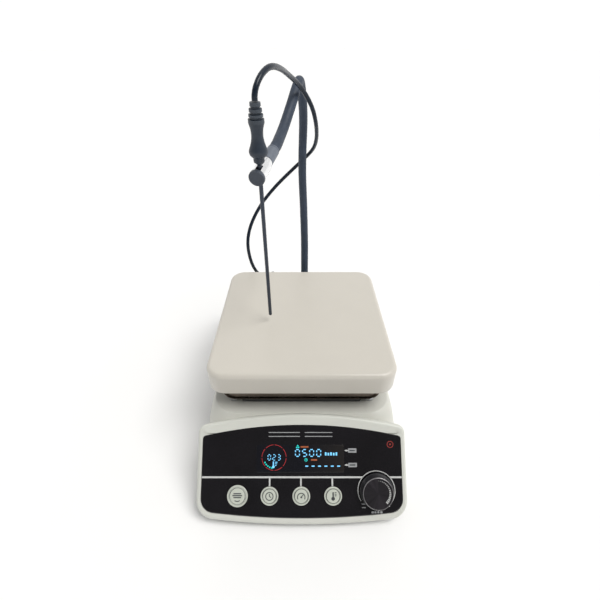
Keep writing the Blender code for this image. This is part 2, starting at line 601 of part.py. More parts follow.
bm = bmesh.new()
panel_prism(bm, GAP, -3, 2)
window_hole = finish("cut_overlay_window", bm, None, (0, PANEL_Y, PANEL_Z), PANEL_TURN, True)
boolean(overlay, window_hole)
bm = bmesh.new()
panel_prism(bm, -1.0, -9, 2)
boolean(bezel, finish("cut_bezel_window", bm, None, (0, PANEL_Y, PANEL_Z), PANEL_TURN, True))
bm = bmesh.new()
panel_prism(bm, 0.0, -OVERLAY_SINK - OVERLAY_T, -OVERLAY_SINK)
finish("display_window", bm, "window", (0, PANEL_Y, PANEL_Z), PANEL_TURN)

board_front = BOARD_N
face_back = -recess - BEZEL_FACE_T + 1.2 - GAP
bm = bmesh.new()
panel_prism(bm, 2.5, board_front + GAP, face_back)
finish("display_module", bm, "glass", (0, PANEL_Y, PANEL_Z), PANEL_TURN)
bm = bmesh.new()
prism(bm, rounded_rect(160, 62, 2, 2, (2, 42)), board_front - BOARD_T, board_front)
finish("control_board", bm, "board", (0, PANEL_Y, PANEL_Z), PANEL_TURN)

# four keys: a fixed white collar on the panel, a white cap that slides in it, a switch below
switch_top = board_front + GAP + SWITCH_H
for key, (kx, ks, cap_r, collar_r) in BUTTONS.items():
    at = on_panel(kx, ks)
    hole = rod("cut_key_" + key, None, cap_r + 0.35, -8, 3, at, PANEL_TURN, cutter=True)
    boolean(overlay, hole)
    boolean(bezel, hole)
    collar_low = -OVERLAY_SINK + GAP
    ring("collar_" + key, "button", cap_r + 0.35, collar_r, collar_low, 1.1, at, PANEL_TURN)
    bm = bmesh.new()
    low = switch_top + GAP + BUTTON_TRAVEL
    flange_n = face_back - 0.2
    turned(bm, [(0, low), (BUTTON_STEM_R, low), (BUTTON_STEM_R, -2.2), (cap_r, -2.2),
                (cap_r, BUTTON_PROUD - 0.5), (cap_r - 0.5, BUTTON_PROUD), (0, BUTTON_PROUD)], 24)
    finish("button_" + key, bm, "button", at, PANEL_TURN)
    bm = bmesh.new()
    box(bm, -3.1, 3.1, -3.1, 3.1, board_front + GAP, board_front + GAP + 2.0)
    switch = finish("switch_" + key, bm, "black", at, PANEL_TURN)
    boolean(switch, rod("add_plunger_" + key, None, 1.7, board_front + 1, switch_top, at,
                        PANEL_TURN, steps=10, cutter=True), "UNION")

# push encoder and its knob
knob_at = on_panel(KNOB_X, KNOB_S)
neck = rod("cut_encoder_neck", None, 4.5 + GAP, -12, 3, knob_at, PANEL_TURN, cutter=True)
boolean(overlay, neck)
boolean(bezel, neck)
neck_top = KNOB_LIFT - 1.0
bm = bmesh.new()
box(bm, -6.5, 6.5, -6.5, 6.5, board_front + GAP, face_back - 1.0)
encoder = finish("encoder_body", bm, "zinc", knob_at, PANEL_TURN)
boolean(encoder, rod("add_encoder_neck", None, 4.5, face_back - 2.0, neck_top, knob_at, PANEL_TURN,
                     steps=20, cutter=True), "UNION")
boolean(encoder, rod("cut_encoder_bore", None, SHAFT_R + GAP, board_front + 1.9, neck_top + 3,
                     knob_at, PANEL_TURN, cutter=True))
plunger_z0 = board_front + 1.9 + GAP + 1.0
plunger_z1 = plunger_z0 + 1.2
rod("encoder_plunger", "black", SHAFT_R - 0.1, plunger_z0, plunger_z1, knob_at, PANEL_TURN, steps=16)
shaft_top = KNOB_LIFT + KNOB_H - 3.0
rod("encoder_shaft", "zinc", SHAFT_R, plunger_z1 + GAP, shaft_top, knob_at, PANEL_TURN, steps=20,
    edge=0.3)
bm = bmesh.new()
top = KNOB_LIFT + KNOB_H
bore = SHAFT_R + GAP
turned(bm, [(bore, KNOB_LIFT), (KNOB_R - 0.5, KNOB_LIFT), (KNOB_R, KNOB_LIFT + 0.6),
            (KNOB_FACE_R + 0.5, top - 1.2), (KNOB_FACE_R, top - 0.2), (KNOB_FACE_R - 0.9, top),
            (KNOB_FACE_R - 1.3, top - 0.5), (0, top - 0.5), (0, shaft_top + GAP),
            (bore, shaft_top + GAP)], 40)
finish("knob", bm, "black", knob_at, PANEL_TURN)

# ------------------------------------------------------------------ rear panel fittings
bm = bmesh.new()
box(bm, -inlet_w / 2, inlet_w / 2, -inlet_h / 2, inlet_h / 2, -20.0, GAP + 0.1)
inlet = finish("mains_inlet", bm, "black", (INLET_X, HOUSE_REAR, INLET_Z), REAR_TURN)
bm = bmesh.new()
prism(bm, rounded_rect(inlet_w + 5, inlet_h + 5, 3, 3), GAP, 3.0)
boolean(inlet, finish("add_inlet_flange", bm, None, (INLET_X, HOUSE_REAR, INLET_Z), REAR_TURN, True),
        "UNION")
bm = bmesh.new()
cavity_w, cavity_h = 24.4, 16.8
prism(bm, rounded_rect(cavity_w, cavity_h, 2.5, 3), -15.0, 6.0)
boolean(inlet, finish("cut_inlet_cavity", bm, None, (INLET_X, HOUSE_REAR, INLET_Z), REAR_TURN, True))
for k, (px, py) in enumerate(((-7, 2.0), (7, 2.0), (0, -2.0))):
    bm = bmesh.new()
    box(bm, px - 1.0, px + 1.0, py - 2.0, py + 2.0, -16.5, -3.5)
    boolean(inlet, finish("add_inlet_pin_%d" % k, bm, None, (INLET_X, HOUSE_REAR, INLET_Z),
                          REAR_TURN, True), "UNION")

bm = bmesh.new()
box(bm, -switch_w / 2, switch_w / 2, -switch_h / 2, switch_h / 2, -16.0, GAP + 0.1)
power = finish("power_switch_body", bm, "black", (SWITCH_X, HOUSE_REAR, SWITCH_Z), REAR_TURN)
bm = bmesh.new()
prism(bm, rounded_rect(switch_w + 2.5, switch_h + 2.5, 1, 2), GAP, 2.2)
boolean(power, finish("add_switch_flange", bm, None, (SWITCH_X, HOUSE_REAR, SWITCH_Z), REAR_TURN,
                      True), "UNION")
rocker_l, rocker_w = 15.0, 9.4
bm = bmesh.new()
box(bm, -rocker_l / 2 - 0.7, rocker_l / 2 + 0.7, -rocker_w / 2 - 0.5, rocker_w / 2 + 0.5, -7.5, 6)
boolean(power, finish("cut_switch_well", bm, None, (SWITCH_X, HOUSE_REAR, SWITCH_Z), REAR_TURN, True))
# rocker: a shallow V rocking about a level pin 1.5 mm inside the panel, stored with one end in
rocker_tilt = math.radians(8.0)
bm = bmesh.new()
profile = [(-rocker_l / 2, -1.0), (0, -4.5), (rocker_l / 2, -1.0), (rocker_l / 2, 3.6), (0, 2.4),
           (-rocker_l / 2, 3.6)]
loft(bm, [[(x, -rocker_w / 2, z) for x, z in profile], [(x, rocker_w / 2, z) for x, z in profile]])
finish("power_rocker", bm, "black", (SWITCH_X, HOUSE_REAR - 1.5, SWITCH_Z),
       REAR_TURN @ Matrix.Rotation(rocker_tilt, 3, "Y"))

bm = bmesh.new()
turned(bm, [(0, -24), (fuse_r - 1, -24), (fuse_r, -23), (fuse_r, GAP), (fuse_r + 2.2, GAP),
            (fuse_r + 2.2, 2.4), (fuse_r + 0.2, 3.0), (fuse_r - 0.6, 9.0), (fuse_r - 1.4, 9.8),
            (0, 9.8)], 20)
finish("fuse_holder", bm, "black", (FUSE_X, HOUSE_REAR, FUSE_Z), REAR_TURN)

plug_r = 4.6
bm = bmesh.new()
turned(bm, [(0, -14), (socket_r, -14), (socket_r, GAP), (socket_r + 2.4, GAP), (socket_r + 2.4, 2.4),
            (socket_r + 1.2, 3.2), (socket_r + 1.2, 6.0), (plug_r + GAP, 6.0), (plug_r + GAP, -9.0),
            (0, -9.0)], 24)
finish("probe_socket", bm, "chrome", (SOCKET_X, HOUSE_REAR, SOCKET_Z), REAR_TURN)
plug_l = PLUG_END - HOUSE_REAR
bm = bmesh.new()
turned(bm, [(0, -9.0 + GAP), (plug_r - 0.3, -9.0 + GAP), (plug_r, -8.0), (plug_r, 6.6),
            (socket_r + 1.4, 6.8), (socket_r + 1.4, 17.0), (socket_r + 0.4, 18.0), (5.6, 19.0),
            (4.6, 26.0), (3.9, 33.0), (3.4, plug_l), (0, plug_l)], 24)
finish("probe_plug", bm, "black", (SOCKET_X, HOUSE_REAR, SOCKET_Z), REAR_TURN)

# ------------------------------------------------------------------ probe arm
nut_z0 = DECK_Z + GAP
bm = bmesh.new()
turned(bm, [(ARM_R + 0.5, nut_z0), (11.5, nut_z0), (11.5, nut_z0 + 2.2), (9.0, nut_z0 + 2.6),
            (8.6, nut_z0 + 11), (7.6, nut_z0 + 12.5), (ARM_R + 0.5, nut_z0 + 12.5)], 24)
finish("arm_nut", bm, "chrome", (ARM_X, ARM_Y, 0))

clamp_turn = along(CLAMP_DIR)
rod_dir = (ROD_HEAD - ROD_TIP).normalized()
slot_l = 6.6                              # rod centre behind the knob's face, along the clamp
sleeve_end = 44.0
arm_tail = [tuple(CLAMP_FACE + CLAMP_DIR * (sleeve_end + GAP + d)) for d in (8.0, 0.3)]
tube("gooseneck", "slate", ARM_ROUTE + arm_tail, ARM_R, 11.0, 3)
rod("gooseneck_sleeve", "slate", SLEEVE_R, 25.0, sleeve_end, CLAMP_FACE, clamp_turn, steps=20,
    edge=0.4)
bm = bmesh.new()
thread_r = 5.0
shoulder_l = CLAMP_KNOB_T + GAP
turned(bm, [(0, 1.5), (thread_r, 1.5), (thread_r, shoulder_l), (CLAMP_R, shoulder_l), (CLAMP_R, 18.4),
            (SLEEVE_R, 24.6), (0, 24.6)], 24)
clamp = finish("clamp_body", bm, "chrome", CLAMP_FACE, clamp_turn)
# slot across the front for the probe, open towards the knob, its floor just behind the rod
side = rod_dir.cross(CLAMP_DIR).normalized()
slot_turn = Matrix((side, rod_dir, side.cross(rod_dir))).transposed()
slot_at = ROD_TIP + rod_dir * (CLAMP_FACE + CLAMP_DIR * slot_l - ROD_TIP).dot(rod_dir)
slot_hw = ROD_R + 0.6
bm = bmesh.new()
box(bm, -slot_hw, slot_hw, -14, 14, -14, ROD_R + 0.4)
boolean(clamp, finish("cut_clamp_slot", bm, None, slot_at, slot_turn, True))

bm = bmesh.new()
turned(bm, [(0, 0), (CLAMP_KNOB_R - 0.6, 0), (CLAMP_KNOB_R, 0.6), (CLAMP_KNOB_R, CLAMP_KNOB_T),
            (thread_r + 0.4, CLAMP_KNOB_T), (thread_r + 0.4, 1.1), (0, 1.1)], 28)
finish("clamp_knob", bm, "black", CLAMP_FACE, clamp_turn)

# ------------------------------------------------------------------ temperature probe
rod_turn = along(rod_dir)
rod_len = (ROD_HEAD - ROD_TIP).length
scale_z = rod_len / (ROD_HEAD.z - ROD_TIP.z)


def up_rod(z):
    """Distance up the probe from its tip of a laid-out height z."""
    return (z + ARM_SHIFT.z - ROD_TIP.z) * scale_z


grip = [(298.7, 1.8), (299.1, 2.1), (300.5, 3.9), (301.0, 4.1), (304.0, 4.2), (305.0, 5.4),
        (306.6, 6.6), (308.6, 6.95), (310.6, 6.5), (312.8, 5.7), (317.0, 4.6), (320.8, 4.3),
        (324.5, 4.6), (327.0, 5.2), (328.9, 5.7), (331.2, 5.7), (331.5, 4.3), (332.5, 4.2),
        (332.8, 5.1), (334.4, 5.1), (334.7, 3.7), (335.6, 3.6), (335.9, 4.55), (338.0, 4.5),
        (338.3, 3.3), (339.3, 3.2), (339.6, 3.85), (342.0, 3.75)]
grip_low = up_rod(grip[0][0])
bm = bmesh.new()
turned(bm, [(0, 0), (0.9, 0.2), (ROD_R, 1.2), (ROD_R, grip_low - GAP), (0, grip_low - GAP)], 12)
finish("probe_rod", bm, "black", ROD_TIP, rod_turn)
bm = bmesh.new()
turned(bm, [(0, grip_low)] + [(r * GRIP_SCALE, up_rod(z)) for z, r in grip] + [(0, up_rod(grip[-1][0]))], 18)
finish("probe_handle", bm, "rubber", ROD_TIP, rod_turn)
tube("probe_cable_upper", "rubber", CABLE_UPPER, CABLE_R, 9.0, 2)
tube("probe_cable_lower", "rubber", CABLE_LOWER, CABLE_R, 9.0, 2)
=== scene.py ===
"""Finished hotplate stirrer: fine surfaces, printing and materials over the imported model.

Lengths are in millimetres, measured from the point of the table under the middle of the hot
plate, and become row-frame metres when a piece is made.
"""
import math

import bmesh
import bpy
import numpy as np
from mathutils import Matrix, Vector


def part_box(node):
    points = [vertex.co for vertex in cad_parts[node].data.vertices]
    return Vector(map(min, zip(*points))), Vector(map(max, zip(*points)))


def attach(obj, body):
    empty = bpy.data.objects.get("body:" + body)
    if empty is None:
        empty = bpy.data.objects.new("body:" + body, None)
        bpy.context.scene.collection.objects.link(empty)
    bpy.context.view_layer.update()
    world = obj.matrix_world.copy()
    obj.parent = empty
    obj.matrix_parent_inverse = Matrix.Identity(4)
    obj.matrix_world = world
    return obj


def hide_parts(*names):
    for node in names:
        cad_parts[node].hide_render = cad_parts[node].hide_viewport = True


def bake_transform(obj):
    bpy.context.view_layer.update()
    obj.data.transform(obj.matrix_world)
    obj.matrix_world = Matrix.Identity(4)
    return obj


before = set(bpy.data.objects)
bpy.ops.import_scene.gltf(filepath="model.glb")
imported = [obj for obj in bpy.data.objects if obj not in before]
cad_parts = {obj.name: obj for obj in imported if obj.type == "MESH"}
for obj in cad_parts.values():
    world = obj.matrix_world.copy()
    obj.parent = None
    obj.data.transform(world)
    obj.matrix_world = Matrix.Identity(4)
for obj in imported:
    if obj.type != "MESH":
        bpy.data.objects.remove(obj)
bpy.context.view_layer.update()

MM = 0.001
plate_low, plate_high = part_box("hot_plate")
ORIGIN = Vector((0, round((plate_low.y + plate_high.y) / 2 / MM, 3), 0))   # axis of the plate
GAP = 0.3                                                    # air between neighbouring pieces


def metres(p):
    return tuple((Vector(p) + ORIGIN) * MM)


def mm_box(node):
    """Lowest and highest corners of a CAD node in millimetres from the plate axis."""
    low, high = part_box(node)
    return Vector(low) / MM - ORIGIN, Vector(high) / MM - ORIGIN


# ------------------------------------------------------------------ camera
scene = bpy.context.scene
cam = bpy.data.cameras.new("camera")
cam.lens = 20.88
cam.sensor_width = 36
cam.clip_start = 0.01
cam.clip_end = 60
camera = bpy.data.objects.new("camera", cam)
camera.location = (-0.0017, -0.293629, 0.377)
camera.rotation_euler = (math.radians(53.2), 0, 0)
scene.collection.objects.link(camera)
scene.camera = camera


# ------------------------------------------------------------------ routes of the arm and cable
def smooth_route(points, spacing):
    """Natural cubic spline through the points, read at an even spacing."""
    pts = np.array([tuple(p) for p in points], dtype=float)
    t = np.concatenate([[0], np.cumsum(np.linalg.norm(np.diff(pts, axis=0), axis=1) ** 0.5)])
    n, h = len(t), np.diff(t)
    a, b = np.zeros((n, n)), np.zeros((n, 3))
    a[0, 0] = a[-1, -1] = 1
    for i in range(1, n - 1):
        a[i, i - 1], a[i, i], a[i, i + 1] = h[i - 1], 2 * (h[i - 1] + h[i]), h[i]
        b[i] = 3 * ((pts[i + 1] - pts[i]) / h[i] - (pts[i] - pts[i - 1]) / h[i - 1])
    c = np.linalg.solve(a, b)
    fine = []
    for i in range(n - 1):
        slope = (pts[i + 1] - pts[i]) / h[i] - h[i] * (2 * c[i] + c[i + 1]) / 3
        d = (c[i + 1] - c[i]) / (3 * h[i])
        for u in np.linspace(0, h[i], 24, endpoint=False):
            fine.append(pts[i] + slope * u + c[i] * u ** 2 + d * u ** 3)
    fine = np.array(fine + [pts[-1]])
    s = np.concatenate([[0], np.cumsum(np.linalg.norm(np.diff(fine, axis=0), axis=1))])
    at = np.linspace(0, s[-1], max(2, int(round(s[-1] / spacing)) + 1))
    return [Vector([float(np.interp(v, s, fine[:, k])) for k in range(3)]) for v in at]


CLAMP_FACE = Vector((-36.1, -30.84, 289.2))
CLAMP_DIR = Vector((0.258, 0.931, 0.259)).normalized()
ROD_TIP = Vector((-34.0, -12.0, 136.0))
ROD_HEAD = Vector((-33.4, -28.5, 342.0))
CLAMP_GRIP = 6.6                                             # from the clamp's face to the rod
SLEEVE_FROM, SLEEVE_TO = 25.0, 44.0
CABLE_R, ARM_R, SLEEVE_R, ROD_R, GRIP_SCALE = 2.2, 4.9, 5.4, 1.75, 1.05
ARM_HOLE_R = ARM_R + 0.5
ARM_ROUTE = [(4.7, 112, 66), (4.7, 112, 84), (4.7, 112.6, 100), (4.7, 117.5, 120),
             (4.5, 125.5, 153.6), (3.5, 130, 187), (2.6, 133, 210.6), (1.3, 136, 240),
             (1.3, 138, 268.4), (1.9, 137.5, 290), (2.0, 134, 308), (1.2, 129, 322),
             (-0.4, 120.5, 336), (-2.4, 107, 343.6), (-5.6, 90, 338.5), (-9.7, 74, 328.2),
             (-13.4, 61.6, 319.4), (-16.9, 49.3, 311.6), (-20.0, 34, 306.2)]
ARM_FOOT = (*ARM_ROUTE[0][:2], 0)
ARM_ROUTE += [tuple(CLAMP_FACE + CLAMP_DIR * (SLEEVE_TO + GAP + d)) for d in (8.0, 0.3)]
CABLE_UPPER = [(-33.4, -28.55, 342.75), (-33.2, -28.55, 346.5), (-32.1, -26.5, 351),
               (-29.9, -21.8, 355.6), (-26.8, -14.5, 359.4), (-22.8, -4.5, 361.4),
               (-16.6, 22.6, 358.4), (-11.9, 49, 353), (-4.9, 70, 345.5), (1.2, 80, 338),
               (6.6, 86.5, 329.7), (11.2, 90.5, 320.4), (14.2, 95.5, 310.4), (16.3, 106, 298.6),
               (16.6, 121, 284.0), (12.5, 137, 270), (4.2, 148, 258.6), (-0.6, 150.5, 253.6)]
CABLE_LOWER = [(-0.95, 150.65, 253.2), (-5.2, 151.5, 249), (-18.3, 150, 237.3), (-31.4, 145, 226),
               (-48.1, 137.5, 209), (-56.9, 131.5, 197.6), (-63.8, 125.5, 186.2),
               (-68.7, 119.4, 174.7), (-71.2, 113.3, 163.1), (-71.2, 108.6, 151),
               (-69.2, 106, 137.7), (-66, 106.5, 125), (-62, 114, 111), (-58, 128, 97.5),
               (-54, 146, 85), (-50, 163, 76), (-47.3, 177, 70.3), (-45.5, 187.8, 62.5),
               (-45, 189, 53.5), (-45, 183.5, 46.8), (-45, 177, 45.1), (-45, 172.3, 45)]


# ------------------------------------------------------------------ procedural materials
def node_material(name):
    mat = bpy.data.materials.new(name)
    mat.use_nodes = True
    tree = mat.node_tree
    return mat, tree, tree.nodes["Principled BSDF"]


def add(tree, kind, **values):
    """New node with some inputs set, named as on the node with _ for a space."""
    node = tree.nodes.new("ShaderNode" + kind)
    for name, value in values.items():
        node.inputs[name.replace("_", " ")].default_value = value
    return node


def noise(tree, scale, detail=4.0, rough=0.55, stretch=None):
    out = add(tree, "TexCoord").outputs["Object"]
    if stretch is not None:
        mapping = add(tree, "Mapping", Scale=stretch)
        tree.links.new(out, mapping.inputs["Vector"])
        out = mapping.outputs["Vector"]
    tex = add(tree, "TexNoise", Scale=scale, Detail=detail, Roughness=rough)
    tree.links.new(out, tex.inputs["Vector"])
    return tex.outputs["Fac"]


def spread(tree, fac, low, high, lo=0.3, hi=0.7):
    node = add(tree, "MapRange", From_Min=lo, From_Max=hi, To_Min=low, To_Max=high)
    tree.links.new(fac, node.inputs["Value"])
    return node.outputs["Result"]


def blend_colour(tree, fac, a, b):
    node = add(tree, "Mix")
    node.data_type = "RGBA"
    for socket, value in ((6, a), (7, b)):
        if isinstance(value, tuple):
            node.inputs[socket].default_value = (*value, 1)
        else:
            tree.links.new(value, node.inputs[socket])
    tree.links.new(fac, node.inputs[0])
    return node.outputs[2]


def bumped(tree, bsdf, height, strength, distance):
    node = add(tree, "Bump", Strength=strength, Distance=distance)
    tree.links.new(height, node.inputs["Height"])
    tree.links.new(node.outputs["Normal"], bsdf.inputs["Normal"])


def surface(name, colour, rough, metal=0.0, vary=0.06, patch=45.0, grain=1400.0, bump=0.03,
            rough_vary=0.05, wear=0.0, wear_to=None, stretch=None, coat=0.0, coat_rough=0.05,
            speck=0.0, spec=0.5):
    """Tone patches, patchy roughness, a fine grain in the bump and a paler tone on worn edges."""
    mat, tree, bsdf = node_material(name)
    dark = tuple(c * (1 - vary) for c in colour)
    pale = tuple(min(1.0, c * (1 + vary)) for c in colour)
    out = blend_colour(tree, spread(tree, noise(tree, patch), 0, 1), dark, pale)
    if speck:
        spots = spread(tree, noise(tree, grain * 0.6, 1.0, 0.4), 0, speck, 0.56, 0.66)
        out = blend_colour(tree, spots, out, tuple(c * 0.45 for c in colour))
    if wear:
        geo = add(tree, "NewGeometry")
        edge = spread(tree, geo.outputs["Pointiness"], 0, wear, 0.505, 0.56)
        worn = wear_to or tuple(min(1, c * 1.4 + 0.03) for c in colour)
        out = blend_colour(tree, edge, out, worn)
    tree.links.new(out, bsdf.inputs["Base Color"])
    tree.links.new(spread(tree, noise(tree, patch * 3, 5.0, 0.6, stretch),
                          max(0.02, rough - rough_vary), min(1.0, rough + rough_vary)),
                   bsdf.inputs["Roughness"])
    bumped(tree, bsdf, noise(tree, grain, 3.0, 0.6, stretch), bump, 0.0004)
    bsdf.inputs["Metallic"].default_value = metal
    bsdf.inputs["Specular IOR Level"].default_value = spec
    if coat:
        bsdf.inputs["Coat Weight"].default_value = coat
        bsdf.inputs["Coat Roughness"].default_value = coat_rough
    mat.diffuse_color = (*colour, 1)
    return mat


def glowing(name, colour, strength):
    """Lit display segment: flat ink that gives a little light, slightly uneven."""
    mat = surface(name, colour, 0.35, vary=0.12, patch=500, grain=2500, bump=0.01)
    bsdf = mat.node_tree.nodes["Principled BSDF"]
    bsdf.inputs["Emission Color"].default_value = (*colour, 1)
    bsdf.inputs["Emission Strength"].default_value = strength
    return mat


def spun(name, colour, rough, centre, normal, metal, streak=0.5):
    """Turned face: painted sheen streaks that fan out from the centre and two painted highlight
    lobes, over very fine rings.
    """
    mat, tree, bsdf = node_material(name)
    mapping = add(tree, "Mapping")
    mapping.vector_type = "TEXTURE"
    mapping.inputs["Location"].default_value = metres(centre)
    mapping.inputs["Rotation"].default_value = Vector(normal).to_track_quat("Z", "X").to_euler()
    tree.links.new(add(tree, "TexCoord").outputs["Object"], mapping.inputs["Vector"])
    fan = add(tree, "TexGradient")
    fan.gradient_type = "RADIAL"
    tree.links.new(mapping.outputs["Vector"], fan.inputs["Vector"])
    painted_sheen_streaks = add(tree, "TexNoise", Scale=26, Detail=5)
    painted_sheen_streaks.noise_dimensions = "1D"
    tree.links.new(fan.outputs["Fac"], painted_sheen_streaks.inputs["W"])
    painted_highlight_lobes = add(tree, "TexWave", Scale=0.637, Phase_Offset=2.2)    # two painted highlight lobes
    painted_highlight_lobes.wave_type = "BANDS"
    painted_highlight_lobes.bands_direction = "X"
    combine = add(tree, "CombineXYZ")
    tree.links.new(fan.outputs["Fac"], combine.inputs["X"])
    tree.links.new(combine.outputs["Vector"], painted_highlight_lobes.inputs["Vector"])
    # painted sheen: the base colour runs darker and paler along the radial streaks
    dark = tuple(c * (1 - streak) for c in colour)
    pale = tuple(min(1, c * (1 + streak)) for c in colour)
    base = blend_colour(tree, spread(tree, painted_sheen_streaks.outputs["Fac"], 0, 1), dark, pale)
    # painted highlight: the colour rises to 2.2 times in the two lobes
    base = blend_colour(tree, spread(tree, painted_highlight_lobes.outputs["Fac"], 0, 0.45, 0.55, 1.0), base,
                        tuple(min(1, c * 2.2) for c in colour))
    tree.links.new(base, bsdf.inputs["Base Color"])
    rings = add(tree, "TexWave", Scale=900, Distortion=0.4)
    rings.wave_type = "RINGS"
    rings.rings_direction = "Z"
    tree.links.new(mapping.outputs["Vector"], rings.inputs["Vector"])
    bumped(tree, bsdf, rings.outputs["Fac"], 0.06, 0.0002)
    tree.links.new(spread(tree, painted_sheen_streaks.outputs["Fac"], rough - 0.08, rough + 0.08),
                   bsdf.inputs["Roughness"])
    bsdf.inputs["Metallic"].default_value = metal
    mat.diffuse_color = (*colour, 1)
    return mat


SLOPE = 45.0
PANEL_AT = Vector((0, -166.4, 12.0))
PANEL_TURN = Matrix.Rotation(math.radians(SLOPE), 3, "X")


def on_panel(x, s, n=0.0):
    """Point x across, s up the slope and n proud of the panel face."""
    return PANEL_AT + PANEL_TURN @ Vector((x, s, n))


KNOB_AT = (71.9, 25.0)
KNOB_LIFT, KNOB_H = 1.4, 7.5
M = {
    "enamel": surface("enamel_ceramic", (0.60, 0.57, 0.51), 0.34, vary=0.02, patch=14, grain=900,
                      bump=0.05, rough_vary=0.06, wear=0.3, wear_to=(0.72, 0.69, 0.63), coat=0.15,
                      coat_rough=0.25),
    "casing": surface("casing_paint", (0.62, 0.62, 0.57), 0.42, vary=0.025, patch=18, grain=1100,
                      bump=0.09, rough_vary=0.05, wear=0.25, wear_to=(0.72, 0.72, 0.68)),
    "bezel": surface("bezel_moulding", (0.64, 0.65, 0.60), 0.36, vary=0.02, patch=20, grain=1600,
                     bump=0.05, rough_vary=0.05, wear=0.3, wear_to=(0.76, 0.77, 0.72)),
    "overlay": surface("panel_gloss", (0.0068, 0.0060, 0.0078), 0.16, vary=0.25, patch=25,
                       grain=2200, bump=0.006, rough_vary=0.05, coat=0.3, coat_rough=0.06,
                       speck=0.15),
    "button": surface("key_plastic", (0.57, 0.60, 0.53), 0.38, vary=0.03, patch=120, grain=2600,
                      bump=0.05, wear=0.35, wear_to=(0.80, 0.82, 0.77)),
    "knob": surface("knob_black", (0.007, 0.007, 0.010), 0.33, vary=0.25, patch=150, grain=1800,
                    bump=0.08, wear=0.6, wear_to=(0.05, 0.05, 0.055)),
    "knob_face": spun("knob_spun_face", (0.012, 0.010, 0.013), 0.36,
                      on_panel(*KNOB_AT, KNOB_LIFT + KNOB_H - 0.5),
                      PANEL_TURN @ Vector((0, 0, 1)), 0.12),
    "rim": surface("knob_bright_rim", (0.40, 0.39, 0.40), 0.30, metal=1.0, vary=0.08, patch=300,
                   grain=3000, bump=0.03),
    # painted shade: the polished steel's base colour is darkened and warmed to the shade under the
    # plate's overhang
    "shield": surface("shield_polished_painted_shade", (0.13, 0.108, 0.092), 0.24, metal=1.0, vary=0.22, patch=22,
                      grain=900, bump=0.02, rough_vary=0.1, stretch=(1, 1, 9)),
    "chrome": surface("chrome_plate", (0.93, 0.94, 0.95), 0.20, metal=1.0, vary=0.03, patch=120,
                      grain=1500, bump=0.012, rough_vary=0.05),
    "sheath": surface("sheath_slate", (0.019, 0.033, 0.060), 0.56, vary=0.14, patch=70, grain=1500,
                      bump=0.10, rough_vary=0.08, wear=0.3),
    "sleeve": surface("sleeve_slate", (0.066, 0.084, 0.116), 0.48, vary=0.10, patch=90, grain=1900,
                      bump=0.06, wear=0.6, wear_to=(0.3, 0.33, 0.38)),
    "clamp": surface("clamp_knob_plastic", (0.034, 0.044, 0.064), 0.46, vary=0.12, patch=160,
                     grain=2400, bump=0.10, wear=0.5, wear_to=(0.13, 0.15, 0.18)),
    "probe": surface("probe_coating", (0.030, 0.040, 0.060), 0.36, metal=0.3, vary=0.10, patch=80,
                     grain=1800, bump=0.04, stretch=(6, 6, 1)),
    "grip": surface("grip_moulded", (0.012, 0.022, 0.038), 0.48, vary=0.14, patch=130, grain=2000,
                    bump=0.10, wear=0.5, wear_to=(0.075, 0.09, 0.11)),
    "cable": surface("cable_jacket", (0.008, 0.015, 0.028), 0.27, vary=0.16, patch=110, grain=2200,
                     bump=0.05, rough_vary=0.07, spec=0.28),
    "feet": surface("foot_rubber", (0.022, 0.022, 0.023), 0.72, vary=0.2, patch=120, grain=1600,
                    bump=0.2, wear=0.4),
    "zinc": surface("zinc_plate", (0.52, 0.53, 0.55), 0.36, metal=1.0, vary=0.10, patch=60,
                    grain=800, bump=0.06, rough_vary=0.12),
    "holder": surface("machined_alloy", (0.60, 0.60, 0.62), 0.30, metal=1.0, vary=0.08, patch=90,
                      grain=900, bump=0.06, stretch=(1, 8, 1)),
    "magnet": surface("nickel_plate", (0.52, 0.52, 0.51), 0.22, metal=1.0, vary=0.06, patch=120,
                      grain=1500, bump=0.03),
    "fitting": surface("fitting_black", (0.016, 0.016, 0.017), 0.46, vary=0.2, patch=110,
                       grain=2000, bump=0.12, wear=0.4),
    "board": surface("solder_mask", (0.02, 0.13, 0.06), 0.4, vary=0.2, patch=160, grain=1200,
                     bump=0.06, speck=0.3),
    "heater": surface("mica_sheet", (0.42, 0.34, 0.26), 0.55, vary=0.25, patch=60, grain=500,
                      bump=0.12),
    "fibre": surface("ceramic_fibre", (0.80, 0.78, 0.72), 0.95, vary=0.08, patch=90, grain=600,
                     bump=0.5),
    "lit_blue": glowing("segment_blue", (0.16, 0.50, 0.80), 0.75),
    "lit_teal": glowing("segment_teal", (0.02, 0.50, 0.46), 0.6),
    "lit_red": glowing("segment_red", (0.33, 0.022, 0.025), 0.5),
    "lit_amber": glowing("segment_amber", (0.30, 0.085, 0.035), 0.35),
}

# the dark ink also fills the floor of the groove in each key cap, as painted shade
for name, colour, rough, vary, patch in (("ink_white", (0.60, 0.61, 0.60), 0.45, 0.10, 260),
                                         ("ink_grey", (0.34, 0.35, 0.36), 0.45, 0.12, 260),
                                         ("dark_ink_and_painted_groove_shade", (0.045, 0.05, 0.055), 0.5, 0.2, 300),
                                         ("ink_red", (0.32, 0.035, 0.028), 0.45, 0.15, 260)):
    M[name] = surface(name, colour, rough, vary=vary, patch=patch, grain=3000, bump=0.02)

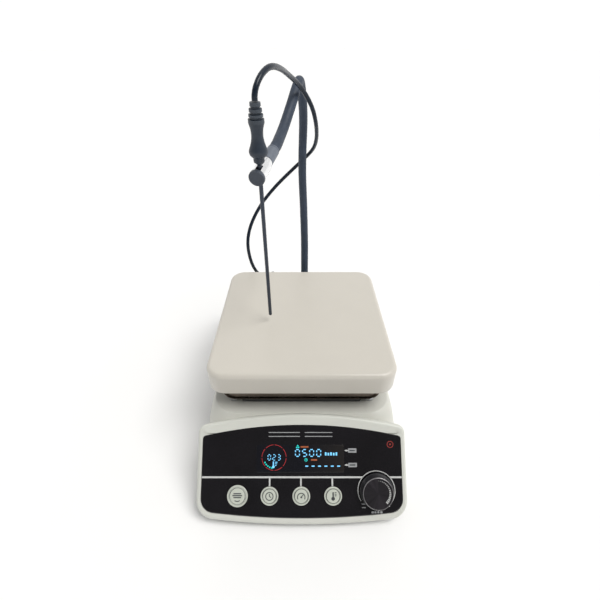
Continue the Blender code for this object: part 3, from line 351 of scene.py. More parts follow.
# smoked window, a little paler and browner towards its right half
mat, tree, bsdf = node_material("window_smoked")
axes = add(tree, "SeparateXYZ")
tree.links.new(add(tree, "TexCoord").outputs["Object"], axes.inputs["Vector"])
tone = spread(tree, axes.outputs["X"], 0, 1, 0.0, 0.042)
shade = blend_colour(tree, tone, (0.0062, 0.0066, 0.0105), (0.021, 0.018, 0.017))
shade = blend_colour(tree, spread(tree, noise(tree, 60), 0, 0.35), shade, (0.010, 0.010, 0.012))
tree.links.new(shade, bsdf.inputs["Base Color"])
tree.links.new(spread(tree, noise(tree, 240, 5), 0.09, 0.17), bsdf.inputs["Roughness"])
bumped(tree, bsdf, noise(tree, 700), 0.01, 0.0003)
M["window"] = mat


# ------------------------------------------------------------------ making pieces
def along(direction):
    return Vector(direction).to_track_quat("Z", "X").to_matrix()


def make(name, bm, mats, at=(0, 0, 0), turn=None, sharp=35, smooth=True):
    """Mesh object in row-frame metres from a millimetre bmesh placed at a point and turned."""
    bmesh.ops.remove_doubles(bm, verts=bm.verts, dist=1e-4)
    bmesh.ops.recalc_face_normals(bm, faces=bm.faces)
    matrix = Matrix.Translation(Vector(at) + ORIGIN) @ (turn or Matrix.Identity(3)).to_4x4()
    bm.transform(Matrix.Scale(MM, 4) @ matrix)
    mesh = bpy.data.meshes.new(name)
    bm.to_mesh(mesh)
    bm.free()
    obj = bpy.data.objects.new(name, mesh)
    scene.collection.objects.link(obj)
    for m in mats if isinstance(mats, (list, tuple)) else [mats]:
        mesh.materials.append(m)
    if smooth:
        mesh.shade_smooth()
        mesh.set_sharp_from_angle(angle=math.radians(sharp))
    return obj


def settle(obj, body, slot, *nodes):
    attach(obj, body)
    if nodes:
        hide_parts(*nodes)
    return obj


def carve(obj, cutters, sharp=35):
    """Cut the cutters out of obj for good and remove them."""
    for cutter in cutters:
        mod = obj.modifiers.new("cut", "BOOLEAN")
        mod.operation = "DIFFERENCE"
        mod.solver = "EXACT"
        mod.object = cutter
    graph = bpy.context.evaluated_depsgraph_get()
    mesh = bpy.data.meshes.new_from_object(obj.evaluated_get(graph))
    old = obj.data
    obj.modifiers.clear()
    obj.data = mesh
    bpy.data.meshes.remove(old)
    mesh.name = obj.name
    for cutter in cutters:
        data = cutter.data
        bpy.data.objects.remove(cutter, do_unlink=True)
        bpy.data.meshes.remove(data)
    mesh.shade_smooth()
    mesh.set_sharp_from_angle(angle=math.radians(sharp))
    return obj


def rounded_rect(width, depth, radius, steps=12, centre=(0, 0), front=None):
    hw, hd = width / 2, depth / 2
    radius = min(radius, hw - 0.01, hd - 0.01)
    front = radius if front is None else front
    points = []
    for sx, sy, r, start in ((1, -1, front, -90), (1, 1, radius, 0), (-1, 1, radius, 90),
                             (-1, -1, front, 180)):
        for i in range(steps + 1):
            a = math.radians(start + 90 * i / steps)
            points.append((centre[0] + sx * (hw - r) + r * math.cos(a),
                           centre[1] + sy * (hd - r) + r * math.sin(a)))
    return points


def panel_outline(hw, low, top, r_low, r_top, bow=780.0, arch=450.0, steps=12, run=36):
    """Bowed bottom, straight sides, arched top and four rounded corners, anticlockwise."""
    def tangent(radius, big):
        x = hw - radius
        for _ in range(8):
            x = hw - radius + radius * x / big
        return x, math.asin(x / big)
    xb, pb = tangent(r_low, bow)
    xt, pt = tangent(r_top, arch)
    points = []
    for i in range(run + 1):
        x = -xb + 2 * xb * i / run
        points.append((x, low + bow - math.sqrt(bow * bow - x * x)))
    cy = points[-1][1] + r_low * math.cos(pb)
    for i in range(1, steps + 1):
        a = -math.pi / 2 + pb + (math.pi / 2 - pb) * i / steps
        points.append((hw - r_low + r_low * math.cos(a), cy + r_low * math.sin(a)))
    right_low = points[run + 1:]
    yt = top - arch + math.sqrt(arch * arch - xt * xt)
    ct = yt - r_top * math.cos(pt)
    for i in range(steps):
        a = (math.pi / 2 - pt) * i / steps
        points.append((hw - r_top + r_top * math.cos(a), ct + r_top * math.sin(a)))
    right_top = points[-steps:]
    for i in range(run + 1):
        x = xt - 2 * xt * i / run
        points.append((x, top - arch + math.sqrt(arch * arch - x * x)))
    points += [(-x, y) for x, y in reversed(right_top)]
    points += [(-x, y) for x, y in reversed(right_low)]
    return points


def loft(bm, rings, index=0, caps=True):
    layers = [[bm.verts.new(p) for p in ring] for ring in rings]
    faces = []
    for low, high in zip(layers, layers[1:]):
        for i in range(len(low)):
            j = (i + 1) % len(low)
            faces.append(bm.faces.new((low[i], low[j], high[j], high[i])))
    if caps:
        faces.append(bm.faces.new(list(reversed(layers[0]))))
        faces.append(bm.faces.new(layers[-1]))
    for face in faces:
        face.material_index = index


def level(outline, z):
    return [(x, y, z) for x, y in outline]


def prism(bm, outline, z0, z1, index=0):
    loft(bm, [level(outline, z0), level(outline, z1)], index)


def box(bm, x0, x1, y0, y1, z0, z1):
    prism(bm, [(x0, y0), (x1, y0), (x1, y1), (x0, y1)], z0, z1)


def circle(radius, steps=48, centre=(0, 0)):
    return [(centre[0] + radius * math.cos(2 * math.pi * i / steps),
             centre[1] + radius * math.sin(2 * math.pi * i / steps)) for i in range(steps)]


def turned(bm, profile, steps=64, index=0):
    """Solid of revolution about Z from a closed (r, z) loop or an open one ending on the axis."""
    rows = []
    for r, z in profile:
        if r < 1e-6:
            rows.append([bm.verts.new((0, 0, z))])
        else:
            rows.append([bm.verts.new((r * math.cos(2 * math.pi * i / steps),
                                       r * math.sin(2 * math.pi * i / steps), z))
                         for i in range(steps)])
    pairs = list(zip(rows, rows[1:]))
    if len(rows[0]) > 1 and len(rows[-1]) > 1:
        pairs.append((rows[-1], rows[0]))
    for a, b in pairs:
        for i in range(steps if len(a) + len(b) > 2 else 0):
            j = (i + 1) % steps
            ends = (a[0], b[i], b[j]) if len(a) == 1 else (a[i], b[0], a[j]) if len(b) == 1 \
                else (a[i], b[i], b[j], a[j])
            bm.faces.new(ends).material_index = index


def arc(r, a0, a1, centre=(0, 0), steps=24):
    """Points on an arc from a0 to a1 degrees, anticlockwise from +X."""
    return [(centre[0] + r * math.cos(math.radians(a0 + (a1 - a0) * i / steps)),
             centre[1] + r * math.sin(math.radians(a0 + (a1 - a0) * i / steps)))
            for i in range(steps + 1)]


def fillet(r, a0, a1, centre, steps=5):
    return arc(r, a0, a1, centre, steps)


def stroke(bm, points, width, n0, n1, index=0):
    """Printed line of even width and square ends along points of the panel."""
    pts = [Vector(p) for p in points]
    left, right = [], []
    for i, p in enumerate(pts):
        before = (p - pts[i - 1]).normalized() if i else None
        after = (pts[i + 1] - p).normalized() if i < len(pts) - 1 else None
        t = ((before or after) + (after or before)).normalized()
        side = Vector((-t.y, t.x)) * width / 2
        if before is not None and after is not None:
            side /= max(0.5, t.dot(after))
        left.append(p + side)
        right.append(p - side)
    layers = [[bm.verts.new((v.x, v.y, n)) for v in left + right[::-1]] for n in (n0, n1)]
    m = len(pts)
    for i in range(m - 1):
        j = 2 * m - 1 - i
        for layer in layers:
            bm.faces.new((layer[i], layer[i + 1], layer[j - 1], layer[j])).material_index = index
    loop = list(range(2 * m))
    low, high = layers
    for a, b in zip(loop, loop[1:] + loop[:1]):
        bm.faces.new((low[a], low[b], high[b], high[a])).material_index = index


def dot(bm, centre, r, n0, n1, index=0, steps=20):
    prism(bm, circle(r, steps, centre), n0, n1, index)


def bar(bm, x0, x1, s0, s1, n0, n1, index=0, r=0.3):
    prism(bm, rounded_rect(x1 - x0, s1 - s0, r, 3, ((x0 + x1) / 2, (s0 + s1) / 2)), n0, n1, index)


SEGMENTS = {"0": "abcdef", "2": "abged", "3": "abgcd", "5": "afgcd"}


def digit(bm, char, x, s, w, h, t, n0, n1, index=0):
    """Seven-segment figure with its lower left corner at x, s."""
    m = h / 2
    gap = t * 0.28
    lines = {"a": ((x, s + h), (x + w, s + h)), "b": ((x + w, s + h), (x + w, s + m)),
             "c": ((x + w, s + m), (x + w, s)), "d": ((x + w, s), (x, s)),
             "e": ((x, s), (x, s + m)), "f": ((x, s + m), (x, s + h)),
             "g": ((x, s + m), (x + w, s + m))}
    for key in SEGMENTS[char]:
        a, b = (Vector(p) for p in lines[key])
        d = (b - a).normalized() * (t * 0.5 + gap)
        stroke(bm, [a + d, b - d], t, n0, n1, index)


def sweep(bm, points, radius, steps):
    """Round tube along points, without twist."""
    pts = [Vector(p) for p in points]
    tangents = [(pts[min(i + 1, len(pts) - 1)] - pts[max(i - 1, 0)]).normalized()
                for i in range(len(pts))]
    normal = tangents[0].orthogonal().normalized()
    rings = []
    for p, t in zip(pts, tangents):
        normal = (normal - t * normal.dot(t)).normalized()
        other = t.cross(normal)
        rings.append([tuple(p + (normal * math.cos(a) + other * math.sin(a)) * radius)
                      for a in (2 * math.pi * k / steps for k in range(steps))])
    loft(bm, rings)


def pin(name, outline, z0, z1, at=(0, 0, 0), turn=None):
    """Cutter: an outline raised from z0 to z1 along its own Z."""
    bm = bmesh.new()
    prism(bm, outline, z0, z1)
    return make(name, bm, (), at, turn)


# ------------------------------------------------------------------ cords first
def cable(name, route, start_body, end_body, start, end, node, **facts):
    pts = smooth_route(route, 3.0)
    bm = bmesh.new()
    sweep(bm, pts, CABLE_R, 18)
    obj = make(name, bm, M["cable"], sharp=60)
    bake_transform(obj)
    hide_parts(node)


low, high = mm_box("probe_plug")
REAR = round(mm_box("housing")[1].y, 3)
SOCKET = Vector((-45.0, REAR, 45.0))
REAR_TURN = Matrix.Rotation(math.radians(-90), 3, "X")
plug_l = high.y - REAR
bm = bmesh.new()
profile = [(0, -8.7), (4.3, -8.7), (4.6, -8.0), (4.6, 6.6), (7.0, 6.8), (7.2, 7.0)]
for k in range(9):                                   # knurled grip as fine rings
    z = 7.6 + k * 1.05
    profile += [(7.2, z), (6.9, z + 0.25), (6.9, z + 0.55), (7.2, z + 0.8)]
profile += [(7.2, 17.2), (6.9, 17.6), (6.2, 18.0), (5.7, 18.6), (5.5, 19.4)]
for k in range(5):                                   # strain relief collars
    z = 20.6 + k * 3.4
    r = 5.2 - k * 0.38
    profile += [(r, z), (r, z + 1.9), (r - 0.7, z + 2.3), (r - 0.7, z + 3.1)]
profile += [(3.4, plug_l - 1.2), (3.1, plug_l), (0, plug_l)]
turned(bm, profile, 40)
plug = settle(make("probe_plug_body", bm, M["fitting"], SOCKET, REAR_TURN), "base",
              "fitting_black", "probe_plug")

cable("probe_lead_upper", CABLE_UPPER, "probe", "arm", (-33, -24, 352), (12, 121, 284),
      "probe_cable_upper", far_end="object")
cable("probe_lead_lower", CABLE_LOWER, "arm", "base", (-6.2, 151.5, 249), (-50, 160, 88),
      "probe_cable_lower", far_end="plug", with_pieces=[plug])

# ------------------------------------------------------------------ hot plate
low, high = mm_box("hot_plate")
pw, pd = high.x - low.x, high.y - low.y
z0, z1 = low.z, high.z
PLATE_R, FILLET, SKIRT_T, TOP_T = 18.0, 4.5, 6.0, 8.0


def plate_ring(inset, z):
    return level(rounded_rect(pw - 2 * inset, pd - 2 * inset, max(PLATE_R - inset, 2.0), 16), z)


rings = [plate_ring(inset, z) for inset, z in (
    (SKIRT_T, z1 - TOP_T), (SKIRT_T, z0 + 0.4), (SKIRT_T - 0.4, z0), (1.2, z0), (0.5, z0 + 0.2),
    (0.12, z0 + 0.7), (0, z0 + 1.5), (0, z1 - FILLET - 1.0))]
for i in range(13):
    a = math.radians(7.5 * i)
    rings.append(plate_ring(FILLET * (1 - math.cos(a)), z1 - FILLET + FILLET * math.sin(a)))
rings += [plate_ring(FILLET + 1.5, z1), plate_ring(FILLET + 9, z1)]
bm = bmesh.new()
loft(bm, rings)
settle(make("plate_top", bm, M["enamel"], sharp=50), "base", "plate_enamel", "hot_plate")

# ------------------------------------------------------------------ heat shield under the plate
low, high = mm_box("heat_shield")
z0, z1 = low.z, high.z
WALL, SHIELD_R, SHEET, LIP = 162.0, 14.0, 1.0, 2.4


def shield_ring(out, z):
    return level(rounded_rect(WALL + 2 * out, WALL + 2 * out, SHIELD_R + out, 16), z)


bm = bmesh.new()
loft(bm, [shield_ring(out, z) for out, z in (
    (-SHEET - 6, z0 + SHEET), (-SHEET - 1.2, z0 + SHEET), (-SHEET, z0 + SHEET + 1.2),
    (-SHEET, z1 - 0.1), (-SHEET + 0.2, z1), (-0.2, z1), (0, z1 - 0.2), (0, z0 + 2.0),
    (0.25, z0 + 1.25), (0.9, z0 + 1.0), (LIP - 0.6, z0 + 1.0), (LIP - 0.1, z0 + 0.8),
    (LIP, z0 + 0.45), (LIP - 0.2, z0 + 0.1), (LIP - 0.7, z0), (-4, z0))])
settle(make("shield_pan", bm, M["shield"], sharp=50), "base", "shield_steel", "heat_shield")
CORNERS = ("front_left", "front_right", "rear_left", "rear_right")
for corner in CORNERS:
    name = "spacer_" + corner
    low, high = mm_box(name)
    h, r, mid = high.z - low.z, (high.x - low.x) / 2, (low + high) / 2
    bm = bmesh.new()
    turned(bm, [(0, 0), (r - 0.6, 0)] + fillet(0.6, -90, 0, (r - 0.6, 0.6)) +
           [(r, h * 0.42), (r - 0.5, h * 0.46), (r - 0.5, h * 0.54), (r, h * 0.58)] +
           fillet(0.6, 0, 90, (r - 0.6, h - 0.6)) + [(0, h)], 36)
    settle(make(name + "_turned", bm, M["zinc"], (mid.x, mid.y, low.z)), "base", "shield_steel",
           name)

# ------------------------------------------------------------------ casing
low, high = mm_box("housing")
deck, rear, bottom, HW = high.z, high.y, low.z, high.x
HW_DECK, BEND_Z, CASE_R, CASE_FRONT_R, CASE_WALL = 90.5, 42.0, 12.0, 24.0, 2.6
FRONT = on_panel(0, 0, -6.0 - GAP)


def case_ring(z, hw, inset=0.0):
    y0 = FRONT.y + (z - FRONT.z) + inset * math.sqrt(2)
    y1 = rear - inset
    return level(rounded_rect(2 * (hw - inset), y1 - y0, max(CASE_R - inset, 2.0), 14,
                              (0, (y0 + y1) / 2), max(CASE_FRONT_R - inset, 2.0)), z)


# height, and how far the wall has drawn in towards the deck
steps = [(bottom, 0.0), (bottom + 12, 0.0), (BEND_Z, 0.0), (52, 0.06), (deck - 14, 0.22),
         (deck - 9, 0.36), (deck - 5.5, 0.5), (deck - 3.2, 0.63), (deck - 1.8, 0.75),
         (deck - 0.8, 0.86), (deck - 0.2, 0.95), (deck, 1.0), (deck, 1.2), (deck, 2.2)]
bm = bmesh.new()
loft(bm, [case_ring(z, HW + (HW_DECK - HW) * f) for z, f in steps])
casing = make("casing_shell", bm, M["casing"])
cutters = []
bm = bmesh.new()
loft(bm, [case_ring(z, HW + (HW_DECK - HW) * f, CASE_WALL) for z, f in
          ((bottom - 5, 0.0), (BEND_Z, 0.0), (deck - 14, 0.25), (deck - CASE_WALL, 0.75))])
cutters.append(make("tool_hollow", bm, M["casing"]))
cutters.append(pin("tool_front", panel_outline(86.2, 7.0, 80.8, 8, 5), -12, -1.0, PANEL_AT,
                   PANEL_TURN))
INLET, SWITCH, FUSE = Vector((58, rear, 36)), Vector((24, rear, 36)), Vector((0, rear, 36))
bm = bmesh.new()
for at, w, h in ((INLET, 27.6, 20.6), (SWITCH, 19.6, 13.6)):
    box(bm, at.x - w / 2, at.x + w / 2, rear - 6, rear + 6, at.z - h / 2, at.z + h / 2)
cutters.append(make("tool_fittings", bm, M["casing"]))
bm = bmesh.new()
for vx in (-82, -76, -70, -64, -27, -21, -15):               # upright vents left of the fuse
    loft(bm, [[(vx + x, y, 39 + z) for x, z in rounded_rect(2.8, 34, 1.3, 5)]
              for y in (rear + 6, rear - 6)])
cutters.append(make("tool_vents", bm, M["casing"]))
cutters.append(pin("tool_fuse", circle(5.9), -8, 6, FUSE, REAR_TURN))
cutters.append(pin("tool_socket", circle(6.1), -8, 6, SOCKET, REAR_TURN))
cutters.append(pin("tool_arm", circle(ARM_HOLE_R), deck - 8, deck + 4, ARM_FOOT))
settle(carve(casing, cutters), "base", "casing", "housing")

# slotted screws at the corners of the rear wall
SCREWS_AT = [(sx, sz) for sz in (16, 62) for sx in (-84, 84)]
bm = bmesh.new()
for sx, sz in SCREWS_AT:
    screw = bmesh.new()
    turned(screw, [(0, 0.05), (3.0, 0.05), (3.0, 0.5)] + fillet(1.2, 20, 80, (1.75, 0.35), 4) +
           [(1.2, 1.55), (0, 1.6)], 28)
    screw.transform(Matrix.Translation((sx, 0, sz)) @ REAR_TURN.to_4x4())
    part = bpy.data.meshes.new("part")
    screw.to_mesh(part)
    screw.free()
    bm.from_mesh(part)
    bpy.data.meshes.remove(part)
screws = make("rear_screws", bm, M["zinc"], (0, rear, 0))
bm = bmesh.new()
for sx, sz in SCREWS_AT:
    box(bm, sx - 3.4, sx + 3.4, 0.9, 4, sz - 0.4, sz + 0.4)
settle(carve(screws, [make("tool_slots", bm, (), (0, rear, 0))]), "base", "zinc")

for corner in CORNERS:
    name = "foot_" + corner
    low, high = mm_box(name)
    h, r, mid = high.z, (high.x - low.x) / 2, (low + high) / 2
    bm = bmesh.new()
    turned(bm, [(0, 0.6), (r - 4, 0.6), (r - 3.6, 0), (r - 1.6, 0)] +
           fillet(1.0, -80, -10, (r - 1.4, 1.0), 4) +
           [(r - 0.15, 2.0), (r, h - 0.4), (r - 0.3, h), (0, h)], 40)
    settle(make(name + "_moulded", bm, M["feet"], (mid.x, mid.y, 0)), "base", "feet", name)

# ------------------------------------------------------------------ bezel
BEZEL_HW, BEZEL_LOW, BEZEL_TOP, DEPTH, EDGE = 101.7, -6.2, 95.8, 6.0, 3.0
OVER_HW, OVER_TOP, OVER_T, SINK = 97.2, 85.8, 0.8, 0.1
RIM = BEZEL_HW - OVER_HW
RECESS = SINK + OVER_T + GAP


def bezel_ring(inset, n):
    return level(panel_outline(BEZEL_HW - inset, BEZEL_LOW + inset, BEZEL_TOP - inset,
                               13 + RIM - inset, 3.5 + RIM - inset), n)


rings = [bezel_ring(0.6, -DEPTH), bezel_ring(0.15, -DEPTH + 0.2), bezel_ring(0, -DEPTH + 0.6)]
for i in range(11):
    a = math.radians(9 * i)
    rings.append(bezel_ring(EDGE * (1 - math.cos(a)), -EDGE * (1 - math.sin(a))))
rings.append(bezel_ring(EDGE + 0.4, 0))
rings.append(bezel_ring(EDGE + 6, 0))
bm = bmesh.new()
loft(bm, rings)
bezel = make("bezel_frame", bm, M["bezel"], PANEL_AT, PANEL_TURN)
WX0, WX1, WS0, WS1 = -44.0, 41.3, 41.3, 67.0                 # display window
WC = ((WX0 + WX1) / 2, (WS0 + WS1) / 2)
WW, WH = WX1 - WX0, WS1 - WS0
bm = bmesh.new()
box(bm, -111, 111, -222, -60, bottom - 12, bottom)
cutters = [
    pin("tool_recess", panel_outline(OVER_HW, 0, OVER_TOP, 13, 3.5), -RECESS, 3, PANEL_AT,
        PANEL_TURN),
    pin("tool_back", panel_outline(97.7, -0.2, 91.8, 13.5, 4.0), -DEPTH - 3, -RECESS - 2.2,
        PANEL_AT, PANEL_TURN),
    make("tool_floor", bm, ()),
    pin("tool_window", rounded_rect(WW - 2, WH - 2, 1.5, 4, WC), -9, 2, PANEL_AT, PANEL_TURN)]
# across, up the slope, cap radius and collar radius of each key
KEYS = {"program": (-61.7, 20.2, 8.2, 9.9), "time": (-31.0, 20.2, 6.9, 8.5),
        "speed": (-0.5, 20.2, 6.9, 8.5), "temp": (30.0, 20.2, 6.9, 8.5)}


KEY_AIR = 0.35                                               # gap round each cap and the shaft


def key_holes():
    return [pin("tool_" + key, circle(r + KEY_AIR, 48), -8, 3, on_panel(kx, ks), PANEL_TURN)
            for key, (kx, ks, r, _) in [*KEYS.items(), ("encoder", (*KNOB_AT, 4.45, 0))]]


settle(carve(bezel, cutters + key_holes()), "base", "casing", "front_bezel")

# ------------------------------------------------------------------ black panel and window
bm = bmesh.new()
face = -SINK
rings = [level(panel_outline(OVER_HW - GAP - d, GAP + d, OVER_TOP - GAP - d, 12.7 - d, 3.2 - d), n)
         for d, n in ((0, -SINK - OVER_T), (0, face - 0.22), (0.08, face - 0.06), (0.25, face),
                      (1.0, face))]
loft(bm, rings)
overlay = make("panel_film", bm, M["overlay"], PANEL_AT, PANEL_TURN)
cutters = [pin("tool_window", rounded_rect(WW + 0.06, WH + 0.06, 1.53, 4, WC), -3, 2, PANEL_AT,
               PANEL_TURN)]
settle(carve(overlay, cutters + key_holes()), "base", "panel_black", "panel_overlay")
bm = bmesh.new()
loft(bm, [level(rounded_rect(WW - 2 * d, WH - 2 * d, 1.5 - d, 4, WC), n) for d, n in
          ((0, -SINK - OVER_T), (0, face - 0.2), (0.06, face - 0.06), (0.2, face), (0.8, face))])
settle(make("window_pane", bm, M["window"], PANEL_AT, PANEL_TURN), "base", "window",
       "display_window")

# printing on the panel: divider, drop lines, plain title bars, tags and the ring of the knob
P0, P1 = face - 0.02, face + 0.035                           # ink from just below to just above
LINE_S, LINE_HALF = 37.0, 0.85                               # the divider's place and half width
INKS = [M["ink_white"], M["ink_grey"], M["ink_red"], M["dark_ink_and_painted_groove_shade"]]
bm = bmesh.new()
kx, ks = KNOB_AT
ring_r = 17.8
reach = math.sqrt(ring_r ** 2 - (LINE_S - ks) ** 2)
for x0, x1 in ((-OVER_HW + 0.5, kx - reach), (kx + reach, OVER_HW - 0.5)):
    bar(bm, x0, x1, LINE_S - LINE_HALF, LINE_S + LINE_HALF, P0, P1, 0, 0.05)
for x, key in ((-31.0, "time"), (-0.8, "speed"), (29.5, "temp")):
    bar(bm, x - 0.75, x + 0.75, KEYS[key][1] + KEYS[key][3] + 0.1, 36.3, P0, P1, 0, 0.05)
stroke(bm, arc(ring_r, -28, 212, KNOB_AT, 90), 0.75, P0, P1, 0)
stroke(bm, arc(ring_r, -28, -46, KNOB_AT, 8), 0.5, P0, P1, 0)
tip = Vector(arc(ring_r, -50, -50, KNOB_AT, 1)[0])
away = Vector((math.cos(math.radians(-50)), math.sin(math.radians(-50))))
run = Vector((away.y, -away.x))
prism(bm, [tuple(tip + run * 2.0), tuple(tip - run * 0.6 + away * 1.3),
           tuple(tip - run * 0.6 - away * 1.3)][::-1], P0, P1, 0)
for s in (12.4, 9.2):
    bar(bm, 57.4, 61.2, s, s + 0.9, P0, P1, 1, 0.05)
stroke(bm, [(58.6, 15.4), (61.0, 14.6)], 0.7, P0, P1, 1)
for k, w in enumerate((2.4, 1.9, 1.9, 2.2)):
    bar(bm, 66.6 + 2.75 * k, 66.6 + 2.75 * k + w, 4.6, 6.4, P0, P1, 1, 0.4)
for x0, x1 in ((-32.5, -1.8), (3.0, 30.2)):
    for s in (74.4, 78.1):
        bar(bm, x0, x1, s, s + 0.75, P0, P1, 1, 0.3)
for s, w in ((61.6, 9.6), (48.2, 9.8)):
    x = 45.2
    prism(bm, [(41.9, s - 0.3), (44.0, s - 0.9), (44.0, s + 0.9), (41.9, s + 0.3)], P0, P1, 0)
    bar(bm, x - 1.4, x, s - 0.5, s + 0.5, P0, P1, 0, 0.1)
    bar(bm, x, x + w - 1.4, s - 2.0, s + 2.0, P0, P1, 1, 0.5)
    bar(bm, x + 1.2, x + w - 2.8, s - 0.6, s + 0.6, P1 - 0.01, P1 + 0.02, 3, 0.4)
RED_AT = (86.5, 67.3)
stroke(bm, arc(2.9, 0, 357, RED_AT, 40), 0.7, P0, P1, 2)
dot(bm, RED_AT, 0.9, P0, P1, 2)
settle(make("panel_print", bm, INKS, PANEL_AT, PANEL_TURN, smooth=False), "base", "keys")

# lit figures behind the window
LIT = [M["lit_blue"], M["lit_teal"], M["lit_red"], M["lit_amber"]]
bm = bmesh.new()
gx, gs = -27.0, 55.1                                         # middle of the round gauge
for a in range(0, 360, 45):
    stroke(bm, arc(11.8, a + 3, a + 42, (gx, gs), 16), 0.5, P0, P1, 2)
for k in range(5):
    a = 208 + k * 12.5
    stroke(bm, arc(9.9, a - 3.9, a + 3.9, (gx, gs), 3), 1.25, P0, P1, 1)
for k, c in enumerate("023"):
    digit(bm, c, gx - 5.9 + k * 4.7, gs - 2.4, 2.6, 5.0, 0.72, P0, P1, 0)
stroke(bm, [(gx - 0.6, gs - 3.6), (gx - 0.6, gs - 8.2)], 1.0, P0, P1, 0)
dot(bm, (gx - 0.6, gs - 8.6), 1.25, P0, P1, 0)
for k in range(3):
    bar(bm, gx + 0.9, gx + 3.4 - 0.5 * k, gs - 4.6 - 1.5 * k, gs - 4.0 - 1.5 * k, P0, P1, 0, 0.05)
for k, c in enumerate("0500"):
    digit(bm, c, -6.1 + k * 6.9, 56.2, 3.9, 6.3, 0.95, P0, P1, 0)
for k in range(5):
    bar(bm, 22.6 + 2.6 * k, 24.2 + 2.6 * k, 57.0, 59.9 - 0.45 * (k % 2), P0, P1, 0, 0.2)
for k in range(3):
    a = math.radians(90 + 120 * k)
    dot(bm, (-4.0 + 1.05 * math.cos(a), 65.0 + 1.05 * math.sin(a)), 0.75, P0, P1, 1, 14)
bar(bm, -1.2, 6.6, 64.3, 65.7, P0, P1, 3, 0.5)
stroke(bm, arc(1.25, 0, 357, (4.2, 52.9), 24), 0.5, P0, P1, 1)
stroke(bm, [(4.2, 54.0), (4.2, 52.9), (5.0, 52.9)], 0.4, P0, P1, 1)
bar(bm, 9.0, 15.0, 52.2, 53.6, P0, P1, 3, 0.5)
for k in range(6):
    bar(bm, 3.4 + 6.2 * k, 6.3 + 6.2 * k, 46.6, 47.7, P0, P1, 0, 0.3)
settle(make("window_figures", bm, LIT, PANEL_AT, PANEL_TURN, smooth=False), "base", "window")

# ------------------------------------------------------------------ keys with plain pictograms
C0, C1 = 1.27, 1.335                                         # ink on top of a key


def key_marks(bm, key):
    if key == "program":
        for k, w in enumerate((7.4, 9.4, 7.4)):
            bar(bm, -w / 2, w / 2, 1.9 - 1.75 * k, 2.95 - 1.75 * k, C0, C1, 1, 0.3)
        stroke(bm, arc(5.0, 240, 300, (0, 0.6), 14), 0.85, C0, C1, 1)
    elif key == "time":
        stroke(bm, arc(3.5, 0, 359, (0, 0), 36), 0.85, C0, C1, 1)
        stroke(bm, [(0, 2.3), (0, 0), (1.7, -1.0)], 0.8, C0, C1, 1)
    elif key == "speed":
        stroke(bm, arc(3.6, -30, 210, (0, -0.8), 30), 0.85, C0, C1, 1)
        stroke(bm, [(0, -0.8), (1.9, 1.5)], 0.8, C0, C1, 1)
        dot(bm, (0, -0.8), 0.9, C0, C1, 1)
    else:
        stroke(bm, [(0, 3.8), (0, -1.2)], 1.4, C0, C1, 1)
        dot(bm, (0, -2.1), 1.75, C0, C1, 1)
        for k in range(3):
            bar(bm, 1.5, 3.3, 0.2 + 1.4 * k, 0.9 + 1.4 * k, C0, C1, 1, 0.05)


BOARD_N, SWITCH_H, TRAVEL = -13.0, 2.8, 1.0
stem = BOARD_N + GAP + SWITCH_H + GAP + TRAVEL               # foot of a key at rest
for key, (bx, bs, cap, collar) in KEYS.items():
    at = on_panel(bx, bs)
    bm = bmesh.new()
    inner = cap + KEY_AIR
    turned(bm, [(inner, 0.2), (collar - 0.1, 0.2), (collar, 0.35)] +
           fillet(0.45, 0, 90, (collar - 0.45, 0.65), 6) +
           fillet(0.3, 90, 180, (inner + 0.3, 0.8), 4), 96)
    settle(make("key_collar_" + key, bm, M["button"], at, PANEL_TURN, 50), "base", "keys",
           "collar_" + key)
    bm = bmesh.new()
    disc = cap - 1.05 if key == "program" else cap - 0.75
    turned(bm, [(0, stem), (3.0, stem), (3.0, -2.2), (cap - 0.3, -2.2), (cap, -1.9), (cap, 0.85),
                (cap - 0.05, 0.95), (disc + 0.62, 0.95), (disc + 0.57, 0.85), (disc + 0.57, 0.2),
                (disc, 0.2), (disc, 0.95)] +
           fillet(0.3, 0, 90, (disc - 0.3, 1.0), 5) + [(disc - 1.0, 1.30), (0, 1.30)], 96)
    # painted shade: a dark ring fills the floor of the groove between the cap's rim and its disc
    turned(bm, [(disc + 0.01, 0.19), (disc + 0.56, 0.19), (disc + 0.56, 0.45), (disc + 0.01, 0.45)],
           96, 1)
    key_marks(bm, key)
    settle(make("key_cap_" + key, bm, [M["button"], M["dark_ink_and_painted_groove_shade"]], at, PANEL_TURN, 40),
           "key_" + key, "keys", "button_" + key)

# ------------------------------------------------------------------ knob
at = on_panel(*KNOB_AT)
KR, FR = 16.3, 14.3                                          # radius of the foot and the face
top = KNOB_LIFT + KNOB_H
bore, shaft_top = 3.3, top - 3.0
bm = bmesh.new()
turned(bm, [(bore, KNOB_LIFT), (KR - 0.6, KNOB_LIFT)] +
       fillet(0.5, -80, 5, (KR - 0.55, KNOB_LIFT + 0.5), 5) +
       [(FR + 0.6, top - 1.6), (FR + 0.35, top - 1.15), (FR - 0.35, top - 1.15),
        (FR - 0.35, top - 0.75), (0, top - 0.75), (0, shaft_top + GAP), (bore, shaft_top + GAP)],
       120)
settle(make("knob_body", bm, M["knob"], at, PANEL_TURN), "dial", "knob_black", "knob")
bm = bmesh.new()
turned(bm, [(FR - 0.55, top - 0.7), (FR + 0.1, top - 1.1)] +
       fillet(0.33, -10, 100, (FR - 0.2, top - 0.5), 7) + [(FR - 0.5, top - 0.25)], 120)
settle(make("knob_rim", bm, M["rim"], at, PANEL_TURN, 50), "dial", "knob_black")
bm = bmesh.new()
turned(bm, [(0, top - 0.72), (FR - 0.6, top - 0.72), (FR - 0.6, top - 0.52), (FR - 0.9, top - 0.45),
            (FR - 2.0, top - 0.5), (4, top - 0.55), (0, top - 0.56)], 120)
